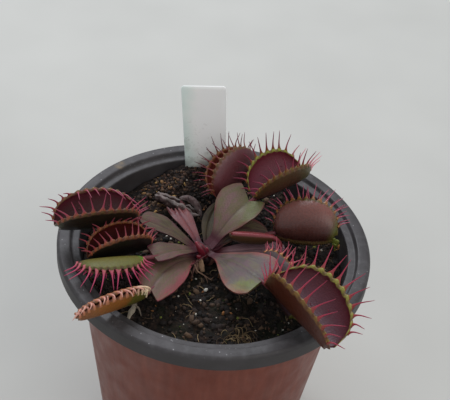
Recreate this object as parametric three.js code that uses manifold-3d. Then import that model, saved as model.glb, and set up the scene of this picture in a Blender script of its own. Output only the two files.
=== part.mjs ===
// A potted Venus flytrap in millimetres, +Z up. The origin is the centre of the pot's flat foot.
// +Y points away from the viewer, towards the plant label, and +X to the right.
import * as THREE from 'three';
import { mergeVertices } from 'three/addons/utils/BufferGeometryUtils.js';
import Module from 'manifold-3d';

const wasm = await Module();
wasm.setup();

// Driving dimensions of the nursery pot, one thermoformed sheet.
const RIM_RADIUS = 50;
const POT_HEIGHT = 84;
const WALL = 0.9;
const RIM_BAND = 4.1;
const RIM_STEP = 1.5;
const LEDGE_INNER_RADIUS = 42.9;
const SKIRT_HEIGHT = 5;
const FOOT_RADIUS = 34;
const FOOT_RING_INNER = 26;
const CENTRE_DISC = 9;
const CHANNEL_RISE = 2.4;
const DRAIN_COUNT = 8;
const DRAIN_RADIUS = 2.6;
const DRAIN_CIRCLE = 17.5;
const POT_SIDES = 48;

// The peat and the plant label.
const CLEARANCE = 0.3;
const SOIL_LEVEL = 74.9;
const HEAP_RISE = 6.8;
const LABEL_WIDTH = 15;
const LABEL_TAPER = 2.6;
const LABEL_THICKNESS = 0.8;
const LABEL_LENGTH = 98;
const LABEL_TOP = new THREE.Vector3(-9.4, 42.4, 113);
const LABEL_LEAN_BACK = 7.4;
const LABEL_LEAN_SIDE = 6.0;

// The plant's short rhizome, with its top just above the peat.
const CROWN = new THREE.Vector3(-2.9, 0.2, 77.5);
const CROWN_RADIUS = 3.4;
const BLADE = 0.9;
const TRAP_SKIN = 0.8;
const NECK = 3;
const NECK_RADIUS = 0.65;
const NECK_GAP = 0.6;

// How finely the leaves and the peat are divided. Along its margin a trap has a short stretch for the
// root of each tooth and a longer one between teeth.
const TURNS = 12;
const REACHES = 3;
const CURL_STEPS = 16;
const FIRST_TURN = 0.06;
const LAST_TURN = Math.PI - FIRST_TURN;
const ROOT_SHARE = 0.42;
const STALK_ROWS = [0, 0.16, 0.34, 0.5, 0.64, 0.76, 0.86, 0.94, 1];
const STALK_COLUMNS = 2;
const SOIL_RINGS = 10;

// Each leaf: the neck where its trap begins, where the trap's midrib points (heading from +X and pitch,
// in degrees), its length, its height from midrib to margin, how far the mouth is rolled from straight
// up about the midrib, half the opening angle (gape), the lobes' curl (cup), the midrib's bow, and the
// number, length and lean of the marginal teeth on each lobe. A withered trap is also crumpled.
// The stalk gives the leaf-like petiole from crown to neck: the height where it leaves the crown, the
// greatest widths of its right and left halves, where along it these lie, how far its two shoulders reach
// past the neck, its arch upwards, its sway to the left, and how steeply the right and left halves rise
// from the midrib. A tail gives the shares of those widths that an angular end keeps. The end is given
// where a stalk stops short of its trap's neck, and a bare stalk has lost its round neck.
const LEAVES = [
  {
    name: 'upper_left', neck: [-26.4, 2, 88], heading: -153, pitch: 7, length: 25.3, height: 11.8,
    roll: 4, gape: 30, cup: 22, bow: 0.06, teeth: 14, toothLength: [6, 6], toothLean: [-12, -8],
    stalk: {
      start: 79.4, width: [4.4, 2.6], widest: 0.75, shoulder: [0.2, 0.2], arch: 1.5, sway: 0, rise: [8, 0],
    },
  },
  {
    name: 'mid_left', neck: [-21, -5.2, 83], heading: -146, pitch: 8, length: 20.2, height: 10.8,
    roll: 2, gape: 20, cup: 26, bow: 0.05, teeth: 14, toothLength: [5, 5], toothLean: [-6, -6],
    stalk: {
      start: 77.2, width: [1.9, 1.9], widest: 0.6, shoulder: [0.2, 0.2], arch: -1, sway: -1, rise: [8, 8],
    },
  },
  {
    name: 'low_left', neck: [-21.5, -15.3, 86.7], heading: -159, pitch: 5, length: 19.6, height: 10.5,
    roll: -70, gape: 4, cup: 35, bow: 0.05, teeth: 14, toothLength: [4, 5.4], toothLean: [60, -22],
    stalk: {
      start: 81, width: [5.2, 2.8], widest: 0.8, shoulder: [-0.8, 0], arch: 0.8, sway: 0, rise: [2, -4],
      tail: [0.85, 0.8], end: [-18.2, -13.2, 86.5],
    },
  },
  {
    name: 'front_left', neck: [-19.9, -28.2, 83.4], heading: -130, pitch: 18.5, length: 26.2, height: 9,
    roll: -16, gape: 1.4, cup: 38, bow: 0.04, teeth: 15, toothLength: [2.2, 3.4], toothLean: [-4, -20],
    stalk: {
      start: 78.6, width: [7, 4.4], widest: 0.64, shoulder: [1, 3.8], arch: 1.2, sway: -2, rise: [8, -10],
      tail: [0.5, 0.96], end: [-17.6, -24.4, 83.4],
    },
  },
  {
    name: 'back', neck: [-0.2, 20, 84], heading: 51, pitch: 22, length: 18.8, height: 12.5,
    roll: -39, gape: 15, cup: 26, bow: 0.06, teeth: 13, toothLength: [5.8, 5.8], toothLean: [-8, -8],
    stalk: {
      start: 77.4, width: [2.4, 2.4], widest: 0.6, shoulder: [0.4, 0.4], arch: 0, sway: 1.4, rise: [10, 10],
    },
  },
  {
    name: 'upper_right', neck: [11.1, 15.4, 90], heading: 34, pitch: 9, length: 19.8, height: 13.2,
    roll: -11, gape: 32, cup: 24, bow: 0.04, teeth: 14, toothLength: [6.4, 6.4], toothLean: [-4, -4],
    stalk: {
      start: 81.2, width: [6.4, 8.8], widest: 0.78, shoulder: [3, 3.4], arch: 1.5, sway: 0, rise: [0, 14],
      tail: [0.75, 0.7],
    },
  },
  {
    name: 'right', neck: [18.8, 7.9, 83], heading: -4, pitch: 6, length: 19.8, height: 14,
    roll: -46, gape: 4, cup: 48, bow: 0.12, teeth: 14, toothLength: [6, 6], toothLean: [20, 14],
    stalk: {
      start: 79.5, width: [2.6, 5], widest: 0.6, shoulder: [0.4, 0.4], arch: 0.6, sway: 2.6, rise: [8, 22],
    },
  },
  {
    name: 'front_right', neck: [17.1, -22.6, 89], heading: -53, pitch: 2, length: 30.4, height: 15.8,
    roll: -20, gape: 34, cup: 24, bow: 0, teeth: 14, toothLength: [7.4, 8.4], toothLean: [14, -32],
    stalk: {
      start: 79.8, width: [9.4, 8.8], widest: 0.8, shoulder: [0.8, 0.5], arch: 1.5, sway: 0, rise: [-10, 10],
      tail: [0.7, 0.5],
    },
  },
  {
    name: 'under_right', neck: [14.8, -5.2, 82.6], heading: -64, pitch: -2, length: 26.1, height: 9.5,
    roll: -49, gape: 4, cup: 34, bow: 0.04, teeth: 14, toothLength: [5.4, 5.4], toothLean: [0, 0],
    stalk: {
      start: 76.4, width: [1.9, 1.9], widest: 0.6, shoulder: [0.2, 0.2], arch: -0.4, sway: -0.6, rise: [5, 5],
    },
  },
  {
    name: 'young', neck: [18.8, 2, 85.7], heading: -177, pitch: 0, length: 14, height: 4,
    roll: 148, gape: 4, cup: 46, bow: 0.02, teeth: 0, toothLength: [0, 0], toothLean: [0, 0],
    stalk: {
      start: 78.2, width: [3.3, 3.2], widest: 0.5, shoulder: [0, 0], arch: 0, sway: 0, rise: [8, 4],
      end: [22.6, 3.1, 81.1],
    },
  },
  {
    name: 'withered', neck: [-21, 24.8, 79.3], heading: -22, pitch: -5, length: 16.2, height: 5,
    roll: -24, gape: 12, cup: 34, bow: 0.05, teeth: 8, toothLength: [1.8, 1.8], toothLean: [-20, -20],
    crumple: 0.14,
    stalk: {
      start: 78.6, width: [3.3, 3.3], widest: 0.85, shoulder: [0.6, 0.6], arch: 0.8, sway: 0, rise: [0, 0],
      tail: [0.85, 0.85], end: [-13.8, 17.4, 80], bare: true,
    },
  },
];

// Colours of the real pieces.
const LOOKS = {
  pot: { color: 0x3b3a3c, roughness: 0.55 },
  soil: { color: 0x2a211c, roughness: 1 },
  label: { color: 0xdfe6e3, roughness: 0.45 },
  crown: { color: 0x6b4038, roughness: 0.8 },
  bud: { color: 0x8f2138, roughness: 0.5 },
  stalk: { color: 0x7f6a62, roughness: 0.5 },
  trap: { color: 0x6a2c38, roughness: 0.45 },
  withered: { color: 0x37322f, roughness: 0.95 },
};

const rad = THREE.MathUtils.degToRad;
const UP = new THREE.Vector3(0, 0, 1);

function seeded(seed) {
  let state = seed;
  return () => {
    state = (state * 1664525 + 1013904223) % 4294967296;
    return state / 4294967296;
  };
}

function smooth(t) {
  const c = THREE.MathUtils.clamp(t, 0, 1);
  return c * c * (3 - 2 * c);
}

function signedVolume(position, index) {
  const a = new THREE.Vector3();
  const b = new THREE.Vector3();
  const c = new THREE.Vector3();
  let sum = 0;
  for (let i = 0; i < index.length; i += 3) {
    a.fromArray(position, 3 * index[i]);
    b.fromArray(position, 3 * index[i + 1]);
    c.fromArray(position, 3 * index[i + 2]);
    sum += a.dot(b.cross(c)) / 6;
  }
  return sum;
}

// A closed geometry as a solid, with its faces turned outwards.
function toSolid(geometry) {
  const bare = geometry.clone();
  bare.deleteAttribute('normal');
  bare.deleteAttribute('uv');
  const merged = mergeVertices(bare, 1e-4);
  const vertProperties = Float32Array.from(merged.attributes.position.array);
  const triVerts = Uint32Array.from(merged.index.array);
  if (signedVolume(vertProperties, triVerts) < 0) {
    for (let i = 0; i < triVerts.length; i += 3) {
      const first = triVerts[i];
      triVerts[i] = triVerts[i + 1];
      triVerts[i + 1] = first;
    }
  }
  return new wasm.Manifold(new wasm.Mesh({ numProp: 3, vertProperties, triVerts }));
}

function toGeometry(solid) {
  const mesh = solid.getMesh();
  const geometry = new THREE.BufferGeometry();
  geometry.setAttribute('position', new THREE.BufferAttribute(mesh.vertProperties, 3));
  geometry.setIndex(new THREE.BufferAttribute(mesh.triVerts, 1));
  geometry.computeVertexNormals();
  return geometry;
}

// The body between two grids of points with the same rows and columns, closed along all four edges.
// Both faces are split along the same diagonals, so that a thin curved blade never crosses itself.
function slab(upper, lower) {
  const rows = upper.length;
  const columns = upper[0].length;
  const points = [...upper.flat(), ...lower.flat()];
  const top = (i, j) => i * columns + j;
  const under = (i, j) => rows * columns + i * columns + j;
  const index = [];
  for (let i = 0; i < rows - 1; i += 1) {
    for (let j = 0; j < columns - 1; j += 1) {
      index.push(top(i, j), top(i + 1, j), top(i + 1, j + 1));
      index.push(top(i, j), top(i + 1, j + 1), top(i, j + 1));
      index.push(under(i, j), under(i + 1, j + 1), under(i + 1, j));
      index.push(under(i, j), under(i, j + 1), under(i + 1, j + 1));
    }
  }
  const rim = [];
  for (let j = 0; j < columns - 1; j += 1) rim.push([0, j]);
  for (let i = 0; i < rows - 1; i += 1) rim.push([i, columns - 1]);
  for (let j = columns - 1; j > 0; j -= 1) rim.push([rows - 1, j]);
  for (let i = rows - 1; i > 0; i -= 1) rim.push([i, 0]);
  rim.forEach(([i, j], k) => {
    const [m, n] = rim[(k + 1) % rim.length];
    index.push(top(i, j), top(m, n), under(i, j));
    index.push(top(m, n), under(m, n), under(i, j));
  });
  const geometry = new THREE.BufferGeometry().setFromPoints(points);
  geometry.setIndex(index);
  return geometry;
}

// The trap's own axes: along its midrib, out of its mouth, and from lobe to lobe.
function trapAxes(leaf) {
  const heading = rad(leaf.heading);
  const pitch = rad(leaf.pitch);
  const along = new THREE.Vector3(
    Math.cos(heading) * Math.cos(pitch),
    Math.sin(heading) * Math.cos(pitch),
    Math.sin(pitch),
  );
  const up = UP.clone().addScaledVector(along, -along.z).normalize();
  const side = new THREE.Vector3().crossVectors(along, up);
  const mouth = up.multiplyScalar(Math.cos(rad(leaf.roll))).addScaledVector(side, Math.sin(rad(leaf.roll)));
  const across = new THREE.Vector3().crossVectors(along, mouth);
  return { along, mouth, across };
}

// A point of a lobe: turn runs from the neck end (0) to the tip end (pi) of its outline, and reach from
// the midrib (0) to the margin (1). The section curls from gape + cup at the midrib to gape - cup at
// the margin, measured from the mouth's direction.
function lobePoint(leaf, axes, lobe, turn, reach) {
  const height = leaf.height * Math.sin(turn) ** 0.72;
  let rise = 0;
  let spread = 0;
  for (let k = 0; k < CURL_STEPS; k += 1) {
    const angle = rad(leaf.gape + leaf.cup * (1 - 2 * reach * ((k + 0.5) / CURL_STEPS)));
    rise += (Math.cos(angle) * reach) / CURL_STEPS;
    spread += (Math.sin(angle) * reach) / CURL_STEPS;
  }
  const rib = 0.5 - 0.47 * Math.cos(turn);
  const edge = 0.51 - 0.53 * Math.cos(turn);
  return new THREE.Vector3(...leaf.neck)
    .addScaledVector(axes.along, leaf.length * (rib + (edge - rib) * reach))
    .addScaledVector(axes.mouth, height * rise - leaf.bow * leaf.length * Math.sin(turn))
    .addScaledVector(axes.across, lobe * height * spread);
}

// The stations of a lobe's rows between the midrib and the margin.
function coarseTurns() {
  return Array.from({ length: TURNS + 1 }, (_, i) => FIRST_TURN + ((LAST_TURN - FIRST_TURN) * i) / TURNS);
}

// Margin stations of one lobe: the roots alternate with gaps, and those of the two lobes are staggered.
function marginTurns(teeth, lobe) {
  if (teeth === 0) return coarseTurns();
  const pitch = (LAST_TURN - FIRST_TURN) / (teeth + 0.5);
  const stagger = lobe > 0 ? 0.5 : 0;
  const turns = [FIRST_TURN];
  for (let k = 0; k < teeth; k += 1) {
    const middle = FIRST_TURN + pitch * (k + 0.5 + stagger);
    turns.push(middle - (pitch * ROOT_SHARE) / 2, middle + (pitch * ROOT_SHARE) / 2);
  }
  turns.push(LAST_TURN);
  return turns;
}

// The skin's outward direction at a reach of a lobe.
function outwardAt(leaf, axes, lobe, reach) {
  const angle = rad(leaf.gape + leaf.cup * (1 - 2 * reach));
  const outward = axes.mouth.clone().multiplyScalar(-Math.sin(angle));
  return outward.addScaledVector(axes.across, lobe * Math.cos(angle));
}

// A strip of triangles between two rows of stations that need not have the same number of points.
function stitch(index, rowA, turnsA, rowB, turnsB, flip) {
  let i = 0;
  let j = 0;
  while (i < rowA.length - 1 || j < rowB.length - 1) {
    const stepA = j === rowB.length - 1 || (i < rowA.length - 1 && turnsA[i + 1] <= turnsB[j + 1]);
    const third = stepA ? rowA[i + 1] : rowB[j + 1];
    if (flip) index.push(rowA[i], third, rowB[j]);
    else index.push(rowA[i], rowB[j], third);
    if (stepA) i += 1;
    else j += 1;
  }
}

// A whole trap as one closed skin: two lobes joined along the midrib, with a tooth raised from each
// root stretch of both margins.
function trap(leaf, seed) {
  const random = seeded(seed);
  const axes = trapAxes(leaf);
  const points = [];
  const index = [];
  const rows = [];
  for (let j = -REACHES; j <= REACHES; j += 1) {
    const lobe = j < 0 ? -1 : 1;
    const reach = Math.abs(j) / REACHES;
    const atMargin = Math.abs(j) === REACHES;
    const turns = atMargin ? marginTurns(leaf.teeth, lobe) : coarseTurns();
    const inner = [];
    const outer = [];
    turns.forEach((turn, i) => {
      const isEnd = i === 0 || i === turns.length - 1;
      const point = lobePoint(leaf, axes, lobe, turn, atMargin && isEnd ? 0.98 : reach);
      if (leaf.crumple) {
        point.addScaledVector(axes.across, leaf.crumple * Math.sin(2.3 * i + 1.7 * j));
        point.addScaledVector(axes.mouth, leaf.crumple * Math.sin(1.9 * i - 2.6 * j));
      }
      const outward = j === 0 ? axes.mouth.clone().multiplyScalar(-1.5) : outwardAt(leaf, axes, lobe, reach);
      inner.push(points.push(point) - 1);
      outer.push(points.push(point.clone().addScaledVector(outward, TRAP_SKIN)) - 1);
    });
    rows.push({ turns, inner, outer });
  }
  for (let j = 0; j < rows.length - 1; j += 1) {
    const [a, b] = [rows[j], rows[j + 1]];
    stitch(index, a.inner, a.turns, b.inner, b.turns, false);
    stitch(index, a.outer, a.turns, b.outer, b.turns, true);
    const [endA, endB] = [a.turns.length - 1, b.turns.length - 1];
    index.push(a.inner[0], a.outer[0], b.outer[0], a.inner[0], b.outer[0], b.inner[0]);
    index.push(a.inner[endA], b.outer[endB], a.outer[endA], a.inner[endA], b.inner[endB], b.outer[endB]);
  }
  for (const lobe of [-1, 1]) {
    const row = lobe < 0 ? rows[0] : rows[rows.length - 1];
    for (let i = 0; i < row.turns.length - 1; i += 1) {
      const corners = [row.inner[i], row.inner[i + 1], row.outer[i + 1], row.outer[i]];
      if (lobe > 0) corners.reverse();
      const [p, q, r, s] = corners;
      if (i % 2 === 0 || leaf.teeth === 0) {
        index.push(p, q, r, p, r, s);
        continue;
      }
      const turn = (row.turns[i] + row.turns[i + 1]) / 2;
      const root = corners.reduce((sum, k) => sum.add(points[k]), new THREE.Vector3()).divideScalar(4);
      const lean = rad(leaf.gape - leaf.cup + leaf.toothLean[lobe < 0 ? 0 : 1] + 10 * (random() - 0.5));
      const upward = Math.max(Math.sin(turn), 0.35);
      const direction = axes.mouth.clone().multiplyScalar(Math.cos(lean) * upward);
      direction.addScaledVector(axes.across, lobe * Math.sin(lean) * upward);
      direction.addScaledVector(axes.along, -0.85 * Math.cos(turn) + 0.14 * (random() - 0.5));
      const full = leaf.toothLength[lobe < 0 ? 0 : 1];
      const size = full * (0.6 + 0.4 * Math.sin(turn)) * (0.88 + 0.24 * random());
      const tip = points.push(root.addScaledVector(direction.normalize(), size)) - 1;
      index.push(p, q, tip, q, r, tip, r, s, tip, s, p, tip);
    }
  }
  const geometry = new THREE.BufferGeometry().setFromPoints(points);
  geometry.setIndex(index);
  return toGeometry(toSolid(geometry));
}

// A straight round peg between two points.
function peg(from, to, radius, sides) {
  const axis = to.clone().sub(from);
  const geometry = new THREE.CylinderGeometry(radius, radius, axis.length(), sides);
  const turn = new THREE.Quaternion();
  turn.setFromUnitVectors(new THREE.Vector3(0, 1, 0), axis.clone().normalize());
  geometry.applyQuaternion(turn);
  const middle = from.clone().add(to).multiplyScalar(0.5);
  return geometry.translate(middle.x, middle.y, middle.z);
}

// The width of one half of a petiole, 0 for the right and 1 for the left, at a share of its length.
function stalkWidth(stalk, s, half) {
  const base = 1.2;
  const widest = stalk.width[half];
  if (s < stalk.widest) return base + (widest - base) * smooth(s / stalk.widest);
  const past = (s - stalk.widest) / (1 - stalk.widest);
  const tail = stalk.tail ? stalk.tail[half] : 0.45;
  return widest * Math.sqrt(1 - (1 - tail * tail) * past ** 3);
}

// A leaf-like petiole: narrow at the crown, broad before the neck, with two shoulders, a shallow fold
// along its midrib and a round neck that stops just behind the trap, whose lobes overhang it when shut.
function petiole(leaf) {
  const { stalk } = leaf;
  const axes = trapAxes(leaf);
  const trapStart = lobePoint(leaf, axes, 1, 0, 0);
  const flat = new THREE.Vector3(trapStart.x - CROWN.x, trapStart.y - CROWN.y, 0).normalize();
  const start = new THREE.Vector3(CROWN.x, CROWN.y, stalk.start).addScaledVector(flat, CROWN_RADIUS + 0.4);
  const end = stalk.end ? new THREE.Vector3(...stalk.end) : trapStart.clone().addScaledVector(flat, -NECK);
  const along = end.clone().sub(start).normalize();
  const up = UP.clone().addScaledVector(along, -along.z).normalize();
  const side = new THREE.Vector3().crossVectors(along, up);
  const upper = [];
  const lower = [];
  for (const s of STALK_ROWS) {
    const middle = start.clone().lerp(end, s)
      .addScaledVector(up, stalk.arch * Math.sin(Math.PI * s))
      .addScaledVector(side, -stalk.sway * Math.sin(Math.PI * s));
    const upperRow = [];
    const lowerRow = [];
    for (let j = -STALK_COLUMNS; j <= STALK_COLUMNS; j += 1) {
      const v = j / STALK_COLUMNS;
      const half = v > 0 ? 0 : 1;
      const width = stalkWidth(stalk, s, half);
      const fold = rad(stalk.rise[half]);
      const point = middle.clone()
        .addScaledVector(side, v * width * Math.cos(fold))
        .addScaledVector(up, Math.abs(v) * width * Math.sin(fold))
        .addScaledVector(along, stalk.shoulder[half] * Math.abs(v) * s ** 5);
      const normal = up.clone().multiplyScalar(Math.cos(fold));
      normal.addScaledVector(side, -Math.sign(v) * Math.sin(fold));
      if (j === 0) normal.copy(up);
      upperRow.push(point);
      lowerRow.push(point.clone().addScaledVector(normal, -BLADE));
    }
    upper.push(upperRow);
    lower.push(lowerRow);
  }
  const blade = toSolid(slab(upper, lower));
  if (stalk.bare) return toGeometry(blade);
  const neckStart = end.clone().addScaledVector(along, -1.5).addScaledVector(up, -BLADE / 2);
  const overhang = 0.05 * leaf.length * (1 - smooth(leaf.gape / 55));
  const neckEnd = trapStart.clone()
    .addScaledVector(axes.along, -overhang - NECK_GAP)
    .addScaledVector(axes.mouth, -BLADE / 2);
  return toGeometry(blade.add(toSolid(peg(neckStart, neckEnd, NECK_RADIUS, 6))));
}

const plant = new THREE.Group();

function addPart(name, geometry, look) {
  const material = new THREE.MeshStandardMaterial({ ...look, metalness: 0 });
  const mesh = new THREE.Mesh(geometry, material);
  mesh.name = name;
  plant.add(mesh);
  return mesh;
}

// The pot: flat foot ring, a centre disc, a raised drain channel, a drafted wall and a turned-out rim.
function wallRadius(z) {
  return FOOT_RADIUS + ((LEDGE_INNER_RADIUS + WALL - FOOT_RADIUS) * z) / (POT_HEIGHT - RIM_STEP);
}

function potBody() {
  const ledge = POT_HEIGHT - RIM_STEP;
  const bandInner = RIM_RADIUS - RIM_BAND;
  const outline = [
    [0, 0],
    [CENTRE_DISC, 0],
    [CENTRE_DISC + 2, CHANNEL_RISE],
    [FOOT_RING_INNER - 2, CHANNEL_RISE],
    [FOOT_RING_INNER, 0],
    [FOOT_RADIUS - 1, 0],
    [wallRadius(1.2), 1.2],
    [wallRadius(ledge - WALL), ledge - WALL],
    [bandInner - 0.2, ledge - WALL],
    [bandInner + 0.4, POT_HEIGHT - WALL],
    [RIM_RADIUS - WALL - 0.3, POT_HEIGHT - WALL],
    [RIM_RADIUS - WALL, POT_HEIGHT - WALL - 0.4],
    [RIM_RADIUS - WALL, POT_HEIGHT - SKIRT_HEIGHT],
    [RIM_RADIUS, POT_HEIGHT - SKIRT_HEIGHT],
    [RIM_RADIUS, POT_HEIGHT - 0.9],
    [RIM_RADIUS - 0.7, POT_HEIGHT],
    [bandInner, POT_HEIGHT],
    [bandInner - 0.6, ledge],
    [LEDGE_INNER_RADIUS, ledge],
    [wallRadius(ledge - 1.6) - WALL, ledge - 1.6],
    [wallRadius(2) - WALL, 2],
    [FOOT_RADIUS - 1.6, WALL],
    [FOOT_RING_INNER + 0.5, WALL],
    [FOOT_RING_INNER - 1.5, CHANNEL_RISE + WALL],
    [CENTRE_DISC + 1.5, CHANNEL_RISE + WALL],
    [CENTRE_DISC - 0.5, WALL],
    [0, WALL],
  ];
  const profile = outline.map(([r, z]) => new THREE.Vector2(r, z));
  const lathe = new THREE.LatheGeometry(profile, POT_SIDES).rotateX(Math.PI / 2);
  let body = toSolid(lathe);
  for (let k = 0; k < DRAIN_COUNT; k += 1) {
    const turn = (2 * Math.PI * (k + 0.5)) / DRAIN_COUNT;
    const drill = new THREE.CylinderGeometry(DRAIN_RADIUS, DRAIN_RADIUS, 8, 10).rotateX(Math.PI / 2);
    drill.translate(DRAIN_CIRCLE * Math.cos(turn), DRAIN_CIRCLE * Math.sin(turn), CHANNEL_RISE);
    body = body.subtract(toSolid(drill));
  }
  return toGeometry(body);
}

// The peat's surface: nearly level, heaped up at the back round the label, with crumbs.
function soilTop(x, y) {
  const heap = smooth((y - 16) / 24) * Math.exp(-(((x + 6) / 26) ** 2));
  const crumbs = 0.35 * Math.sin(0.9 * x + 1.3) * Math.cos(0.8 * y) + 0.3 * Math.sin(0.37 * x - 0.53 * y);
  return SOIL_LEVEL + HEAP_RISE * heap + crumbs;
}

// The peat fills the pot from its raised channel to this surface.
function soilBody() {
  const floor = CHANNEL_RISE + WALL + CLEARANCE;
  const topRadius = wallRadius(SOIL_LEVEL) - WALL - CLEARANCE - 0.1;
  const floorRadius = wallRadius(floor) - WALL - CLEARANCE - 0.1;
  const points = [new THREE.Vector3(0, 0, soilTop(0, 0))];
  for (let i = 1; i <= SOIL_RINGS; i += 1) {
    for (let k = 0; k < POT_SIDES; k += 1) {
      const turn = (2 * Math.PI * k) / POT_SIDES;
      const radius = (topRadius * i) / SOIL_RINGS;
      const x = radius * Math.cos(turn);
      const y = radius * Math.sin(turn);
      points.push(new THREE.Vector3(x, y, soilTop(x, y)));
    }
  }
  for (let k = 0; k < POT_SIDES; k += 1) {
    const turn = (2 * Math.PI * k) / POT_SIDES;
    points.push(new THREE.Vector3(floorRadius * Math.cos(turn), floorRadius * Math.sin(turn), floor));
  }
  points.push(new THREE.Vector3(0, 0, floor));
  const centre = points.length - 1;
  const at = (i, k) => 1 + (i - 1) * POT_SIDES + (k % POT_SIDES);
  const index = [];
  for (let k = 0; k < POT_SIDES; k += 1) {
    index.push(0, at(1, k), at(1, k + 1));
    for (let i = 1; i <= SOIL_RINGS; i += 1) {
      index.push(at(i, k), at(i + 1, k), at(i + 1, k + 1));
      index.push(at(i, k), at(i + 1, k + 1), at(i, k + 1));
    }
    index.push(centre, at(SOIL_RINGS + 1, k + 1), at(SOIL_RINGS + 1, k));
  }
  const geometry = new THREE.BufferGeometry().setFromPoints(points);
  geometry.setIndex(index);
  return toSolid(geometry);
}

// The label: a thin plastic strip with a pointed foot, leaning back along the pot's wall.
function labelBlank(grow) {
  const half = LABEL_WIDTH / 2 + grow;
  const lowHalf = half - LABEL_TAPER / 2;
  const outline = new THREE.Shape();
  outline.moveTo(-half, grow - 0.8);
  outline.lineTo(-half + 0.8, grow);
  outline.lineTo(half - 0.8, grow);
  outline.lineTo(half, grow - 0.8);
  outline.lineTo(lowHalf, -LABEL_LENGTH + 14);
  outline.lineTo(0, -LABEL_LENGTH - grow);
  outline.lineTo(-lowHalf, -LABEL_LENGTH + 14);
  outline.closePath();
  const depth = LABEL_THICKNESS + 2 * grow;
  const blank = new THREE.ExtrudeGeometry(outline, { depth, bevelEnabled: false });
  blank.translate(0, 0, -depth / 2);
  blank.rotateX(Math.PI / 2);
  blank.rotateY(rad(-LABEL_LEAN_SIDE));
  blank.rotateX(rad(-LABEL_LEAN_BACK));
  blank.translate(LABEL_TOP.x, LABEL_TOP.y, LABEL_TOP.z);
  return blank;
}

// The rhizome, with a rounded top for the leaf bases and a tapering end among the roots.
function crownBlank(grow) {
  const outline = [
    [0, -12 - grow],
    [1.6 + grow, -11],
    [CROWN_RADIUS + grow, -5],
    [CROWN_RADIUS + grow, 3],
    [CROWN_RADIUS - 1 + grow, 4],
    [0, 4.3 + grow],
  ];
  const profile = outline.map(([r, z]) => new THREE.Vector2(r, z));
  const body = new THREE.LatheGeometry(profile, 12).rotateX(Math.PI / 2);
  return body.translate(CROWN.x, CROWN.y, CROWN.z);
}

// The crimson bud of the next leaf, folded tight, with two small ones at its foot, grown together.
function buds() {
  const shapes = [
    { at: [-1.4, -3, 6.8], size: [1.5, 1.5, 2.6], lean: [12, -34] },
    { at: [-1.4, -4, 5.2], size: [1.1, 1, 1.1], lean: [0, 0] },
    { at: [0, -1.6, 5.7], size: [1.3, 1.4, 1.2], lean: [0, -20] },
  ];
  return toGeometry(shapes.map(({ at, size, lean }) => {
    const bud = new THREE.SphereGeometry(1, 9, 7);
    bud.scale(...size).rotateX(rad(lean[0])).rotateY(rad(lean[1]));
    return toSolid(bud.translate(CROWN.x + at[0], CROWN.y + at[1], CROWN.z + at[2]));
  }).reduce((whole, bud) => whole.add(bud)).subtract(toSolid(crownBlank(CLEARANCE))));
}

addPart('pot', potBody(), LOOKS.pot);
addPart('plant_label', toGeometry(toSolid(labelBlank(0))), LOOKS.label);
addPart('crown', toGeometry(toSolid(crownBlank(0))), LOOKS.crown);
addPart('leaf_buds', buds(), LOOKS.bud);
const soil = soilBody()
  .subtract(toSolid(labelBlank(CLEARANCE + 0.15)))
  .subtract(toSolid(crownBlank(CLEARANCE + 0.15)));
addPart('soil', toGeometry(soil), LOOKS.soil);
LEAVES.forEach((leaf, k) => {
  addPart(`petiole_${leaf.name}`, petiole(leaf), LOOKS.stalk);
  addPart(`trap_${leaf.name}`, trap(leaf, 101 + k), LOOKS.trap);
});

export default plant;
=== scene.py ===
"""A potted Venus flytrap in its nursery pot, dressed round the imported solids. Shapes are worked out in
millimetres in the frame of the solids and turned to metres when a mesh is made."""
import math
import random
from functools import partial
from types import SimpleNamespace

import bmesh
import bpy
import numpy as np
from mathutils import Matrix, Vector, noise


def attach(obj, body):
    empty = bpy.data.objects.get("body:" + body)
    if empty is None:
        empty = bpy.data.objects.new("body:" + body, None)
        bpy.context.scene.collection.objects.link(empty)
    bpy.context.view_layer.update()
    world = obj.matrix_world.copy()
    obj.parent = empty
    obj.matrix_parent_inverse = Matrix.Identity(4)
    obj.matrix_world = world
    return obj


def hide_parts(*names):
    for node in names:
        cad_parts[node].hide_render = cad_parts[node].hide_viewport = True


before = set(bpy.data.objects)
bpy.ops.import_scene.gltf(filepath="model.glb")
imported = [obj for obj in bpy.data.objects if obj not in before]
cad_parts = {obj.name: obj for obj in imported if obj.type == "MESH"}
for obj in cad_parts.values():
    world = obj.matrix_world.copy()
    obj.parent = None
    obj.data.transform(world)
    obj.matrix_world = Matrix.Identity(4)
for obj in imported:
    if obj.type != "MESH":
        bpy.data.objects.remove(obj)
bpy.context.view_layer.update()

MM = 0.001
UP = np.array([0.0, 0.0, 1.0])
FULL_TURN = 2 * math.pi

# The pot, the peat, the label and the crown, as the solids have them.
RIM_RADIUS, POT_HEIGHT, WALL = 50.0, 84.0, 0.9
RIM_BAND, RIM_STEP, LEDGE_INNER_RADIUS, SKIRT_HEIGHT = 4.1, 1.5, 42.9, 5.0
FOOT_RADIUS, FOOT_RING_INNER, CENTRE_DISC, CHANNEL_RISE = 34.0, 26.0, 9.0, 2.4
DRAIN_COUNT, DRAIN_RADIUS, DRAIN_CIRCLE = 8, 2.6, 17.5
SOIL_LEVEL, HEAP_RISE, SOIL_GAP = 74.9, 6.8, 0.4
LABEL_WIDTH, LABEL_TAPER, LABEL_LENGTH, LABEL_CORNER, LABEL_POINT = 15.0, 2.6, 98.0, 1.1, 14.0
LABEL_TOP, LABEL_LEAN_BACK, LABEL_LEAN_SIDE = (-9.4, 42.4, 113.0), 7.4, 6.0
LABEL_HALF, LABEL_EDGE = 0.28, 0.12
CROWN, CROWN_RADIUS = np.array([-2.9, 0.2, 77.5]), 3.4
BLADE, TRAP_SKIN, NECK = 0.9, 0.8, 3.0
FIRST_TURN = 0.06
LAST_TURN = math.pi - FIRST_TURN


# Small helpers for shapes.

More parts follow.
